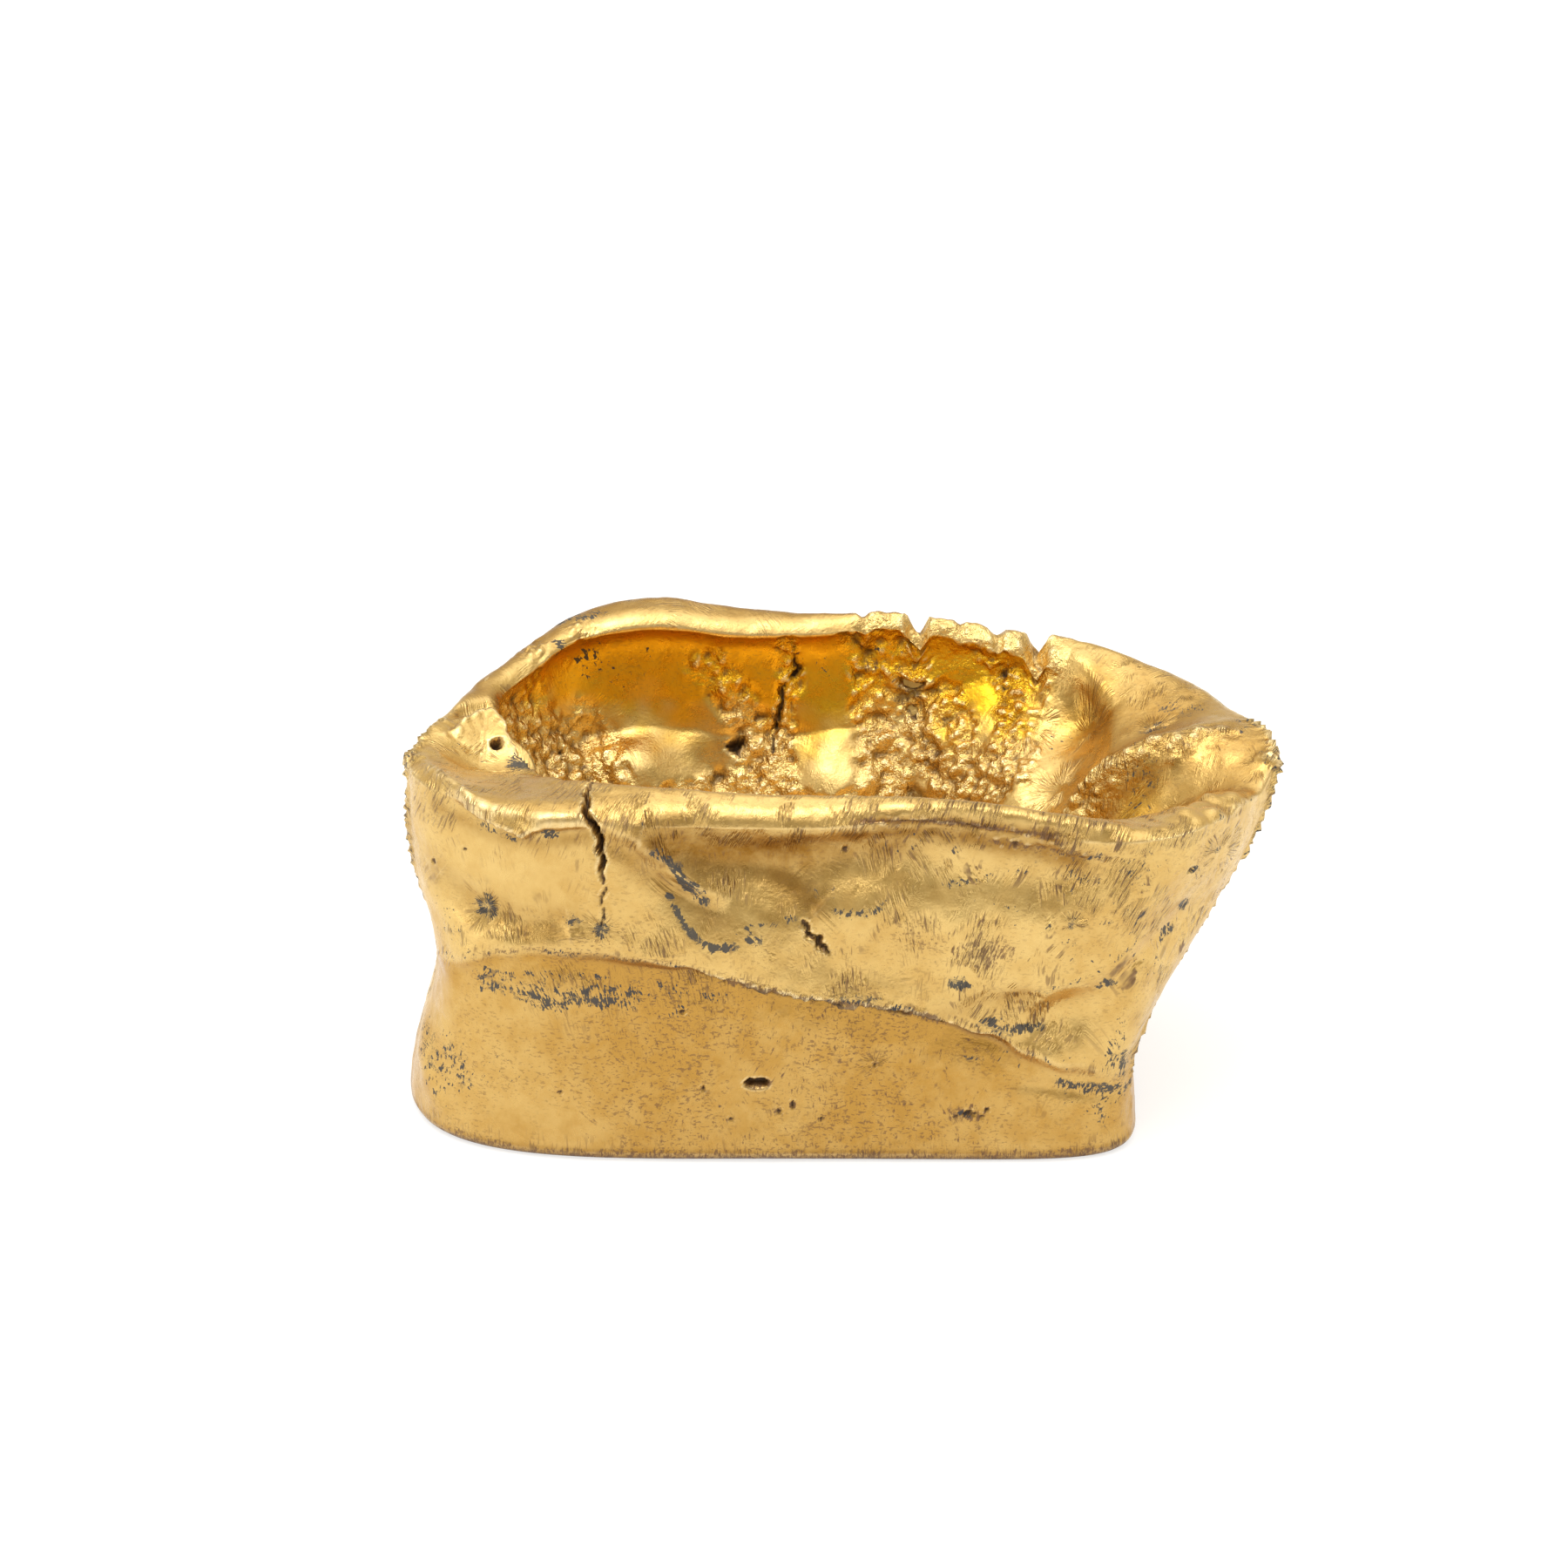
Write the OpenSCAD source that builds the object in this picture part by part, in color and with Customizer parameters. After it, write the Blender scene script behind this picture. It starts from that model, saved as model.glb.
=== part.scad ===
// Crumpled open vessel, cast in one piece: a thick-walled bag with folded ends and a pulled-out spout.
// The skin is one closed loft. Rings run from the foot, up the wall, over the brim, down the well
// and across its floor, and soft local dents are then pushed into every ring above the foot.

/* [Foot] */
// Half length of the foot on the right
foot_right = 69.5; // [67:0.5:72]
// Half length of the foot on the left
foot_left = 70.5; // [68:0.5:73]
// Depth of the foot in front of its centre
foot_front = 43.5; // [41:0.5:45]
// Depth of the foot behind its centre
foot_back = 40; // [38:0.5:43]
// Squareness of the foot's right corners
corner_right = 8.5; // [5:0.5:10]
// Squareness of the foot's left corners
corner_left = 3.7; // [3.1:0.2:6.1]
// Radius of the foot's bottom edge
foot_round = 2.4; // [1.4:0.2:4]

/* [Brim] */
// Height of the brim's low parts, from which the stations rise and fall
brim_h = 70; // [64:1:76]
// Height that the brim's roll stands above a straight line across it
brim_crown = 2.2; // [1:0.2:3]

/* [Well] */
// Height of the well's floor at the left and in the middle
floor_h = 25; // [20:1:28]
// Further height of the floor where it rises to the spout
floor_rise = 15; // [8:1:16]
// Radius of the floor's flat area about its middle line
floor_r = 11; // [9:1:13]
// Right end of the floor's middle line
floor_line_right = 31; // [26:1:34]
// Left end of the floor's middle line
floor_line_left = -28; // [-31:1:-24]
// Depth position of the floor's middle line
floor_line_y = 3; // [0:0.5:5]

/* [Fold] */
// Distance that the skin overhangs the lower band along the front fold
fold_step = 1.2; // [0.3:0.1:1.5]
// Extra overhang where the fold is deepest
fold_extra = 2.4; // [0:0.1:2.8]
// Place of the deepest overhang
fold_deep_x = 10; // [0:1:20]

/* [Smoothness] */
// Columns round the skin
columns_round = 132; // [96:12:144]
// Rings up the wall
wall_rings = 16; // [12:1:18]
// Rings over the brim
brim_rings = 7; // [5:1:8]
// Rings down the well
well_rings = 13; // [8:1:14]

/* [Hidden] */

// Brim stations, anticlockwise from the spout's tip: [x, y, height above brim_h, width of the brim,
// drop to its inner lip, turn of the foot point, undercut below the lip, slope of the well's side]
STATIONS = [
    [96, -2, -1, 32, 13, -22, 0, 1],
    [88, 19.5, -2, 29, 11.5, -8, 0, 1],
    [75, 33.5, -1, 19, 8.5, 0, 0, 1],
    [58, 43, 1, 9, 4.5, 0, 0, 1],
    [40, 45.5, 2.0, 5, 1, 0, 1.5, 0.5],
    [24, 47, 4.2, 4.5, 1, 0, 1.5, 0],
    [8, 48, 3.6, 7, 1, 0, 2.5, 0],
    [-8, 49, 4.6, 9.5, 1.5, 0, 3, 0],
    [-24, 49.5, 6.6, 11, 1.5, 0, 4, 0],
    [-40, 45.5, 4, 10, 1, 0, 4, 0],
    [-51.5, 34, 0.3, 8, 0.5, 0, 3, 0],
    [-59.5, 22.5, -1, 8, 1, 0, 1, 0.3],
    [-64.5, 7, 0.3, 16, 4, 0, 0, 0.5],
    [-68.5, -14, 0.5, 27, 8, 0, 0, 0.5],
    [-63.5, -29, 1, 29, 8, 0, 0, 0.3],
    [-48, -40.5, 0.5, 23, 3, 0, 1, 0],
    [-31, -42.5, 0, 12, -2, 0, 1, 0],
    [-12, -43.5, -1, 9, -3.5, 0, 1, 0],
    [8, -43.5, -1, 8, -3, 0, 1, 0],
    [28, -43.5, 0.5, 6.5, -1, 0, 1, 0],
    [46, -44.5, -1.5, 6, -0.5, 0, 1, 0],
    [63, -44, -3.5, 9, 0, 0, 0.5, 0.5],
    [78, -37, -4.5, 19, 6, -4, 0, 1],
    [90.5, -17, -7.5, 28, 10, -14, 0, 1],
];

// Line of the front fold: [x, z]
FOLD = [
    [-68, 32], [-60, 37], [-52, 41], [-44, 42.5], [-32, 42.5], [-20, 41.5], [-8, 38.5],
    [4, 35.5], [18, 33.5], [28, 31], [38, 26.5], [50, 21], [66, 15.5]
];

// Soft dents and swellings: [centre, reach along each axis, push at the centre]
DENTS = [
    // front wall
    [[-6, -44, 60], [16, 14, 7], [0, 2, 0]],
    [[22, -44, 62], [20, 14, 7], [0, 1.8, 0]],
    [[52, -44, 59], [14, 14, 7], [0, 1.4, 0]],
    [[-50, -42, 54], [12, 14, 11], [0, 2.6, 0]],
    [[-28, -43, 60], [8, 12, 9], [0, -2, 0]],
    [[-3, -44, 47], [20, 12, 7], [0, -1.4, 0]],
    [[28, -44, 48], [14, 12, 9], [0, -1.4, 0]],
    [[52, -40, 51], [18, 14, 8], [0, -2.4, 0]],
    [[74, -34, 46], [13, 16, 9], [-2, 3.6, 0]],
    [[50, -42, 30], [18, 14, 6], [0, 2.4, 0]],
    [[0, -43, 18], [60, 12, 14], [0, 1, 0]],
    // trough under the rolled lip, in two branches, and the slanting roll beside it
    [[-14, -44, 65.3], [9, 12, 5], [0, 1.2, 0]],
    [[1, -44, 59], [9, 12, 5], [0, 1, 0]],
    [[14, -44, 63], [14, 12, 5], [0, 0.9, 0]],
    [[34, -44, 68.5], [16, 12, 3], [0, 1.1, 0]],
    [[-14, -44, 59], [8, 12, 4.5], [0, -1, 0]],
    // tongue at the end of the front fold
    [[54, -42, 38], [14, 12, 5], [0, -1, 0]],
    // left end
    [[-70, -16, 31], [14, 26, 15], [5.5, 0, 0]],
    [[-72, 14, 36], [16, 16, 26], [9, 0, 0]],
    // right end
    [[84, 10, 40], [22, 15, 26], [-10, 0, 0]],
    [[70, -25, 18], [12, 22, 12], [-1.3, 0, 0]],
    // back wall
    [[0, 44, 30], [40, 14, 12], [0, -4, 0]],
    [[-30, 46, 56], [26, 14, 14], [0, 3, 0]],
    [[36, 46, 50], [22, 14, 12], [0, -3.5, 0]],
    // panels of the back wall that bulge into the well
    [[-27, 30, 46], [9, 14, 8], [0, -4, 3]],
    [[-44, 24, 46], [8, 12, 8], [2, -2, 2]],
    [[11, 30, 46], [8, 14, 9], [0, -4.5, 3]],
    [[30, 34, 66], [8, 12, 8], [0, -1.3, 0]],
    [[50, 26, 46], [9, 12, 9], [-1, -4, 3]],
    [[30, 26, 44], [7, 12, 7], [0, 1, -2]],
    [[-10, 28, 44], [6, 12, 7], [0, 1, -2]],
    // slope behind the spout: dimple, spur, valley, front lobe
    [[61, 28, 60], [8, 7, 8], [1, 1, -2.6]],
    [[84, 4, 66], [8, 5, 6], [0, 0, 1.4]],
    [[75, 2.5, 64], [7, 5, 6], [0, 0, 2.2]],
    [[67, 2, 60], [7, 5, 6], [0, 0, 2]],
    [[59, 4, 55], [7, 5, 6], [0, 0, 1.2]],
    [[73, -7, 57], [11, 6, 8], [0, 0, -2.4]],
    [[67, -15, 53], [9, 9, 8], [0, 0, -1.6]],
    [[84, -21, 63], [7, 7, 6], [0, 0, 2.6]],
    [[76, -30, 64], [7, 6, 5], [0, 0, 1.6]],
    // left shoulder
    [[-57, -8, 67], [10, 9, 8], [0, 0, -3.5]],
    [[-45, -14, 64], [6, 6, 7], [0, 0, -3]],
    [[-57, 10, 68], [7, 5, 6], [0, 0, -0.8]],
];

// Way round the brim at each station, so that the columns can stand evenly along it
BRIM_RUN = [
    for (i = 0, run = 0; i <= len(STATIONS); run = run + norm(flat(station(i + 1) - station(i))), i = i + 1)
        [run, i]
];
// Middle line that the brim leans in towards: [left x, right x, y]
BRIM_LINE = [-38, 60, 3];
FLOOR_LINE = [floor_line_left, floor_line_right, floor_line_y];
FLOOR_MIDDLE = [(floor_line_left + floor_line_right) / 2, floor_line_y];
// Stretch of x over which the floor rises
FLOOR_CLIMB = [2, 46];
// Stretches over which the fold fades out, towards the back and at its two ends
FOLD_BACK = [-22, -32];
FOLD_RIGHT = [68, 56];
FOLD_LEFT = [-68, -58];
// How far the fold's overhang spreads, as the divisor of the squared height from its line
FOLD_SPREAD = 60;
// Rings of the wall that lie below the front fold, and the nearest rings' distance from its line
RINGS_BELOW = round(0.45 * wall_rings);
FOLD_GAP = 1;

function smooth(from, to, v) = let (k = max(0, min(1, (v - from) / (to - from)))) k * k * (3 - 2 * k);
function fade(stretch, v) = smooth(stretch[0], stretch[1], v);
function blend(a, b, k) = a + (b - a) * k;
function unit(v) = v / norm(v);
function flat(p) = [p[0], p[1]];
function total(list, i = 0) = i == len(list) - 1 ? list[i] : list[i] + total(list, i + 1);

// Closed curve through the stations, at s stations from the first
function station(i) = let (n = len(STATIONS)) STATIONS[(i + n) % n];
function along(s) =
    let (i = floor(s), k = s - i, a = station(i - 1), b = station(i), c = station(i + 1), d = station(i + 2))
    0.5 * (2 * b + (c - a) * k + (2 * a - 5 * b + 4 * c - d) * k * k + (3 * b - a - 3 * c + d) * k * k * k);

// Foot outline: a rounded rectangle given as a radius in each direction
function foot_point(angle) =
    let (c = cos(angle), s = sin(angle), n = c > 0 ? corner_right : corner_left)
    let (half_x = c > 0 ? foot_right : foot_left, half_y = s > 0 ? foot_back : foot_front)
    [c, s] * pow(pow(abs(c / half_x), n) + pow(abs(s / half_y), n), -1 / n);

// Nearest point of a middle line [left x, right x, y]
function nearest(p, line) = [max(line[0], min(line[1], p[0])), line[2]];

// Height of the well's floor, which rises to the spout
function floor_z(xy) = floor_h + floor_rise * fade(FLOOR_CLIMB, xy[0]);

// One column of the skin: [foot, brim, lip, floor edge, way inwards, undercut, slope of the well]
function column(j) =
    let (s = along(lookup(j / columns_round * BRIM_RUN[len(STATIONS)][0], BRIM_RUN)))
    let (brim = [s[0], s[1], brim_h + s[2]])
    let (inward = unit(nearest(brim, BRIM_LINE) - flat(brim)))
    let (lip_xy = flat(brim) + inward * s[3], lip = [lip_xy[0], lip_xy[1], brim[2] - s[4]])
    let (line = nearest(lip, FLOOR_LINE), edge = line + unit(lip_xy - line) * floor_r)
    let (foot = foot_point(atan2(s[1], s[0]) + s[5]))
    [foot, brim, lip, edge, inward, max(0, s[6]), max(0, min(1, s[7]))];

// The front fold: the skin above it overhangs, the flat band below it draws back
function folded(p) =
    let (rise = p[2] - lookup(p[0], FOLD), side = smooth(-0.8, 0.9, rise))
    let (ends = fade(FOLD_RIGHT, p[0]) * fade(FOLD_LEFT, p[0]), reach = fade(FOLD_BACK, p[1]) * ends)
    let (step = fold_step + fold_extra * exp(-pow((p[0] - fold_deep_x) / 22, 2)))
    let (over = side * exp(-pow(max(0, rise), 2) / FOLD_SPREAD))
    let (under = (1 - side) * exp(-pow(max(0, -rise), 2) / FOLD_SPREAD))
    p - [0, reach * step * (over - 0.5 * under), 0];

function dent(p, d) =
    let (away = [for (i = [0:2]) (p[i] - d[0][i]) / d[1][i]]) exp(-away * away) * d[2];
function dented(p) = p + total([for (d = DENTS) dent(p, d)]);

// Share of the way from foot to brim: the spout flares in an S, the rest leans out late
function flare(t, x) =
    let (right = smooth(20, 90, x), s_curve = smooth(0.12, 1.03, t) / smooth(0.12, 1.03, 1))
    [blend(pow(t, 1.5), s_curve, right), pow(t, 1.15)];

function foot_ring(columns, angle) =
    let (inset = foot_round * (1 - sin(angle)), z = foot_round * (1 - cos(angle)))
    [for (c = columns) concat(c[0] * (1 - inset / norm(c[0])), z)];

// Share of the wall's height at ring i: the rings close up on the two sides of the front fold
function wall_share(c, i) =
    let (x = blend(c[0][0], c[1][0], 0.2), rise = c[1][2] - foot_round)
    let (low = (lookup(x, FOLD) - FOLD_GAP - foot_round) / rise, high = low + 2 * FOLD_GAP / rise)
    i < RINGS_BELOW
        ? low * i / (RINGS_BELOW - 1)
        : blend(high, 1, (i - RINGS_BELOW) / (wall_rings - RINGS_BELOW));

function wall_ring(columns, i) = [
    for (c = columns)
        let (t = wall_share(c, i), k = flare(t, c[1][0]))
        dented(folded([
            blend(c[0][0], c[1][0], k[0]),
            blend(c[0][1], c[1][1], k[1]),
            blend(foot_round, c[1][2], t)
        ]))
];

function brim_ring(columns, t) = [
    for (c = columns)
        let (wide = norm(flat(c[2]) - flat(c[1])), squareness = max(2, min(5, wide / 3)))
        dented(blend(c[1], c[2], t) + [0, 0, brim_crown * (1 - pow(abs(2 * t - 1), squareness))])
];

// Down the well: an undercut just below the lip, then a drop that turns into a slope
function well_ring(columns, t) = [
    for (c = columns)
        let (start = 0.32 * (1 - c[6]), share = 1 - pow(max(0, (t - start) / (1 - start)), 1.12))
        let (fall = 1 - pow(1 - t, 1.55 - 0.3 * c[6]), tuck = 14 * t * exp(1 - 14 * t))
        dented(concat(
            blend(c[3], flat(c[2]), share) - c[4] * c[5] * tuck,
            blend(c[2][2], floor_z(c[3]), fall)
        ))
];

function floor_ring(columns, t) = [
    for (c = columns)
        let (xy = blend(FLOOR_MIDDLE, c[3], t))
        concat(xy, floor_z(xy))
];

module vessel() {
    columns = [for (j = [0:columns_round - 1]) column(j)];
    rings = concat(
        [for (angle = [0:30:60]) foot_ring(columns, angle)],
        [for (i = [0:wall_rings - 1]) wall_ring(columns, i)],
        [for (i = [0:brim_rings - 1]) brim_ring(columns, i / brim_rings)],
        [for (i = [0:well_rings]) well_ring(columns, i / well_rings)],
        [for (t = [0.66, 0.33]) floor_ring(columns, t)]
    );
    skin = [for (ring = rings) each ring];
    points = concat(skin, [concat(FLOOR_MIDDLE, floor_z(FLOOR_MIDDLE))]);
    last = (len(rings) - 1) * columns_round;
    faces = concat(
        [[for (j = [0:columns_round - 1]) j]],
        [
            for (r = [0:len(rings) - 2], j = [0:columns_round - 1])
                let (a = r * columns_round + j, b = r * columns_round + (j + 1) % columns_round)
                let (c = a + columns_round, d = b + columns_round)
                each norm(skin[a] - skin[d]) < norm(skin[c] - skin[b])
                    ? [[a, c, d], [a, d, b]]
                    : [[a, c, b], [c, d, b]]
        ],
        [for (j = [0:columns_round - 1]) [last + j, len(skin), last + (j + 1) % columns_round]]
    );
    // stand the model with its origin under the middle of its outline
    xs = [for (p = skin) p[0]];
    ys = [for (p = skin) p[1]];
    color("goldenrod")
        translate([-(min(xs) + max(xs)) / 2, -(min(ys) + max(ys)) / 2, 0])
            polyhedron(points, faces, convexity = 6);
}

vessel();
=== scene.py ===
"""Crumpled vessel of gilded cast bronze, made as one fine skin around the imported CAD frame.

Lengths in the design tables are millimetres about the middle of the foot, with +X to the spout,
+Y to the back wall and +Z up. They become metres, in the CAD model's place, in one step.
"""
import math

import bpy
import numpy as np
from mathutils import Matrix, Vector


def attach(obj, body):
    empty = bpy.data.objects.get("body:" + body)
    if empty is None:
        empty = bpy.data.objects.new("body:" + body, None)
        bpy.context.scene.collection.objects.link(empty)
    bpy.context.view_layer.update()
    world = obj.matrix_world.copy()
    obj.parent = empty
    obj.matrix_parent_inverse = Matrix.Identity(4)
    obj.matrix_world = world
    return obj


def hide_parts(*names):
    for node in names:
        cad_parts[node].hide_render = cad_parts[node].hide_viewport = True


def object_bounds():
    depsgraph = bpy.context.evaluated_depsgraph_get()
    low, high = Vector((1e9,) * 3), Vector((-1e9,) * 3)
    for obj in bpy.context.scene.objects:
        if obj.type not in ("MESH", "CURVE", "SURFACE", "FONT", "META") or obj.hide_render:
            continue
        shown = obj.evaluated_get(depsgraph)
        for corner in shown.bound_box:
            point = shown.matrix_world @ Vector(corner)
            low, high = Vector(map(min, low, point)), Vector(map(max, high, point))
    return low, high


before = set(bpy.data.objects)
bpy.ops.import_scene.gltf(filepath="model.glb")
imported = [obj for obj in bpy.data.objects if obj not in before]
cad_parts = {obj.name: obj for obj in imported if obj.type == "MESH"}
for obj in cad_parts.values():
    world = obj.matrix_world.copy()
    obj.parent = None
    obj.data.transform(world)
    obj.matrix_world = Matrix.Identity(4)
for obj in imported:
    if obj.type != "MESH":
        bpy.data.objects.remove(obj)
cad_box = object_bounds()

MM = 0.001

# ---------------------------------------------------------------- driving sizes
BRIM_H = 70.0
BRIM_CROWN = 2.2
FOOT_RIGHT, FOOT_LEFT, FOOT_FRONT, FOOT_BACK = 69.5, 70.5, 43.5, 40.0
CORNER_RIGHT, CORNER_LEFT = 8.5, 3.7
FOOT_ROUND, EDGE_ROWS = 2.4, 6               # rounded edge of the foot: its radius and its rows
BASE_RINGS = (0.3, 0.6, 0.9)                 # rings under the foot, as shares of its size
FLOOR_H, FLOOR_R = 25.0, 11.0
FLOOR_RISE, FLOOR_CLIMB = 15.0, (2, 46)      # how far the floor rises, and over which stretch of x
# middle lines that the brim and the floor close in on: left x, right x, y
BRIM_LINE = (-38.0, 60.0, 3.0)
FLOOR_LINE = (-28.0, 31.0, 3.0)
# overhang along the front fold, its extra where it is deepest, that place, and how far it spreads
FOLD_STEP, FOLD_EXTRA, FOLD_DEEP_X, FOLD_SPREAD = 1.2, 2.6, 10, 60
# where the fold dies out: by y to the back, by x to the right and to the left
FOLD_BACK, FOLD_RIGHT, FOLD_LEFT = (-22, -32), (68, 56), (-68, -58)
# columns round the skin, and its rows on the wall, the brim, the well and the floor
FINE_SKIN, QUICK_SKIN = (820, 140, 44, 104, 8), (520, 90, 30, 70, 8)

# Brim stations, anticlockwise from the spout's tip: x, y, height above BRIM_H, width of the brim,
# drop to its inner lip, turn of the foot point, undercut below the lip, slope of the well's side
STATIONS = np.array([
    (96, -2, -1, 32, 13, -22, 0, 1),
    (88, 19.5, -2, 29, 11.5, -8, 0, 1),
    (75, 33.5, -1, 19, 8.5, 0, 0, 1),
    (58, 43, 1, 9, 4.5, 0, 0, 1),
    (40, 45.5, 2.0, 5, 1, 0, 1.5, 0.5),
    (24, 47, 4.2, 4.5, 1, 0, 1.5, 0),
    (8, 48, 3.6, 7, 1, 0, 2.5, 0),
    (-8, 49, 4.6, 9.5, 1.5, 0, 3, 0),
    (-24, 49.5, 6.6, 11, 1.5, 0, 4, 0),
    (-40, 45.5, 4, 10, 1, 0, 4, 0),
    (-51.5, 34, 0.3, 8, 0.5, 0, 3, 0),
    (-59.5, 22.5, -1, 8, 1, 0, 1, 0.3),
    (-64.5, 7, 0.3, 16, 4, 0, 0, 0.5),
    (-68.5, -14, 0.5, 27, 8, 0, 0, 0.5),
    (-63.5, -29, 1, 29, 8, 0, 0, 0.3),
    (-48, -40.5, 0.5, 23, 3, 0, 1, 0),
    (-31, -42.5, 0, 12, -2, 0, 1, 0),
    (-12, -43.5, -1, 9, -3.5, 0, 1, 0),
    (8, -43.5, -1, 8, -3, 0, 1, 0),
    (28, -43.5, 0.5, 6.5, -1, 0, 1, 0),
    (46, -44.5, -1.5, 6, -0.5, 0, 1, 0),
    (63, -44, -3.5, 9, 0, 0, 0.5, 0.5),
    (78, -37, -4.5, 19, 6, -4, 0, 1),
    (90.5, -17, -7.5, 28, 10, -14, 0, 1),
])
SPOUT_SEAM, LEFT_SEAM = 0, 13      # the stations that the two serrated seams climb to
EVEN_ROWS = 6                      # rows to either side that a seam's course is evened over

# Soft dents and swellings: centre, reach along each axis, push at the centre
DENTS = [
    # front wall
    ((-6, -44, 60), (16, 14, 7), (0, 2.0, 0)),
    ((22, -44, 62), (20, 14, 7), (0, 1.8, 0)),
    ((52, -44, 59), (14, 14, 7), (0, 1.4, 0)),
    ((-50, -42, 54), (12, 14, 11), (0, 2.6, 0)),
    ((-28, -43, 60), (8, 12, 9), (0, -2, 0)),
    ((-3, -44, 47), (20, 12, 7), (0, -1.4, 0)),
    ((28, -44, 48), (14, 12, 9), (0, -1.4, 0)),
    ((52, -40, 51), (18, 14, 8), (0, -2.4, 0)),
    ((74, -34, 46), (13, 16, 9), (-2, 3.6, 0)),
    ((50, -42, 30), (18, 14, 6), (0, 2.4, 0)),
    ((0, -43, 18), (60, 12, 14), (0, 1, 0)),
    # left end
    ((-70, -16, 31), (14, 26, 15), (5.5, 0, 0)),
    ((-72, 14, 36), (16, 16, 26), (9, 0, 0)),
    # right end
    ((84, 10, 40), (22, 15, 26), (-10, 0, 0)),
    ((70, -25, 18), (12, 22, 12), (-1.3, 0, 0)),
    # back wall
    ((0, 44, 30), (40, 14, 12), (0, -4, 0)),
    ((-30, 46, 56), (26, 14, 14), (0, 3, 0)),
    ((36, 46, 50), (22, 14, 12), (0, -3.5, 0)),
    # panels of the back wall that bulge into the well
    ((-27, 30, 46), (9, 14, 8), (0, -4, 3)),
    ((-44, 24, 46), (8, 12, 8), (2, -2, 2)),
    ((11, 30, 46), (8, 14, 9), (0, -4.5, 3)),
    ((30, 34, 66), (8, 12, 8), (0, -1.3, 0)),
    ((50, 26, 46), (9, 12, 9), (-1, -4, 3)),
    ((30, 26, 44), (7, 12, 7), (0, 1, -2)),
    ((-10, 28, 44), (6, 12, 7), (0, 1, -2)),
    # slope behind the spout: dimple, spur, valley, front lobe
    ((61, 28, 60), (8, 7, 8), (1, 1, -2.6)),
    ((84, 4, 66), (8, 5, 6), (0, 0, 1.4)),
    ((75, 2.5, 64), (7, 5, 6), (0, 0, 2.2)),
    ((67, 2, 60), (7, 5, 6), (0, 0, 2)),
    ((59, 4, 55), (7, 5, 6), (0, 0, 1.2)),
    ((73, -7, 57), (11, 6, 8), (0, 0, -2.4)),
    ((67, -15, 53), (9, 9, 8), (0, 0, -1.6)),
    ((84, -21, 63), (7, 7, 6), (0, 0, 2.6)),
    ((76, -30, 64), (7, 6, 5), (0, 0, 1.6)),
    # left shoulder
    ((-57, -8, 67), (10, 9, 8), (0, 0, -3.5)),
    ((-45, -14, 64), (6, 6, 7), (0, 0, -3)),
    ((-57, 10, 68), (7, 5, 6), (0, 0, -0.8)),
]

# Line of the front fold: x, z
FOLD = np.array([(-68, 32), (-60, 37), (-52, 41), (-44, 42.5), (-32, 42.5), (-20, 41.5), (-8, 38.5),
                 (4, 35.5), (18, 33.5), (28, 31), (38, 26.5), (50, 21), (66, 15.5)], float)


# ---------------------------------------------------------------- small maths
def smooth(low, high, v):
    k = np.clip((v - low) / (high - low), 0, 1)
    return k * k * (3 - 2 * k)


def bell(v, reach):
    return np.exp(-(v / reach) ** 2)


def lattice(cells, seed):
    """A repeatable random number in 0..1 for each whole-number cell."""
    h = (cells[..., 0] * 374761393 + cells[..., 1] * 668265263 + cells[..., 2] * 2147483647
         + seed * 144269504).astype(np.uint32)
    h = (h ^ (h >> np.uint32(13))) * np.uint32(1274126177)
    h = (h ^ (h >> np.uint32(16))) * np.uint32(2246822519)
    return (h ^ (h >> np.uint32(13))).astype(float) / 2 ** 32


def noise(p, size, seed):
    """Smooth value noise in -1..1, with bumps about one size across."""
    q = p / size
    i = np.floor(q).astype(np.int64)
    k = q - i
    k = k * k * (3 - 2 * k)
    out = 0
    for corner in range(8):
        step = np.array([corner & 1, corner >> 1 & 1, corner >> 2 & 1])
        w = np.prod(np.where(step, k, 1 - k), axis=-1)
        out = out + w * lattice(i + step, seed)
    return 2 * out - 1


def spots(p, size, seed):
    """Random spots round each point, one for every cell nearby: squared distance, place, own numbers."""
    q = p / size
    i = np.floor(q).astype(np.int64)
    for cell in range(27):
        c = i + np.array([cell // 9 - 1, cell // 3 % 3 - 1, cell % 3 - 1])
        own = np.stack([lattice(c, seed + a) for a in range(3)], axis=-1)
        yield ((c + own - q) ** 2).sum(-1), c + own, own


def grains(p, size, seed):
    """Distance from the nearest of the randomly placed grain centres, in grain sizes."""
    near = np.full(p.shape[:-1], 9.0)
    for d, _, _ in spots(p, size, seed):
        near = np.minimum(near, d)
    return np.sqrt(near)


def patches(p, size, seed):
    """Nearest patch centre: distance in patch sizes, offset from it, and its own random numbers."""
    near = np.full(p.shape[:-1], 9.0)
    offset = np.zeros(p.shape)
    owner = np.zeros(p.shape)
    for d, place, own in spots(p, size, seed):
        closer = d < near
        near = np.where(closer, d, near)
        offset = np.where(closer[..., None], p - place * size, offset)
        owner = np.where(closer[..., None], np.roll(own, 1, axis=-1), owner)
    return np.sqrt(near), offset, owner


def to_line(x, y, points):
    """Distance to an open line of points, signed side, and length along it at the nearest place."""
    best = np.full(x.shape, 1e9)
    side = np.zeros(x.shape)
    along = np.zeros(x.shape)
    run = 0.0
    for (ax, ay), (bx, by) in zip(points[:-1], points[1:]):
        ex, ey = bx - ax, by - ay
        size = math.hypot(ex, ey)
        k = np.clip(((x - ax) * ex + (y - ay) * ey) / size ** 2, 0, 1)
        d = np.hypot(x - ax - k * ex, y - ay - k * ey)
        closer = d < best
        best = np.where(closer, d, best)
        side = np.where(closer, (ex * (y - ay) - ey * (x - ax)) / size, side)
        along = np.where(closer, run + k * size, along)
        run += size
    return best, side, along


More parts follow.
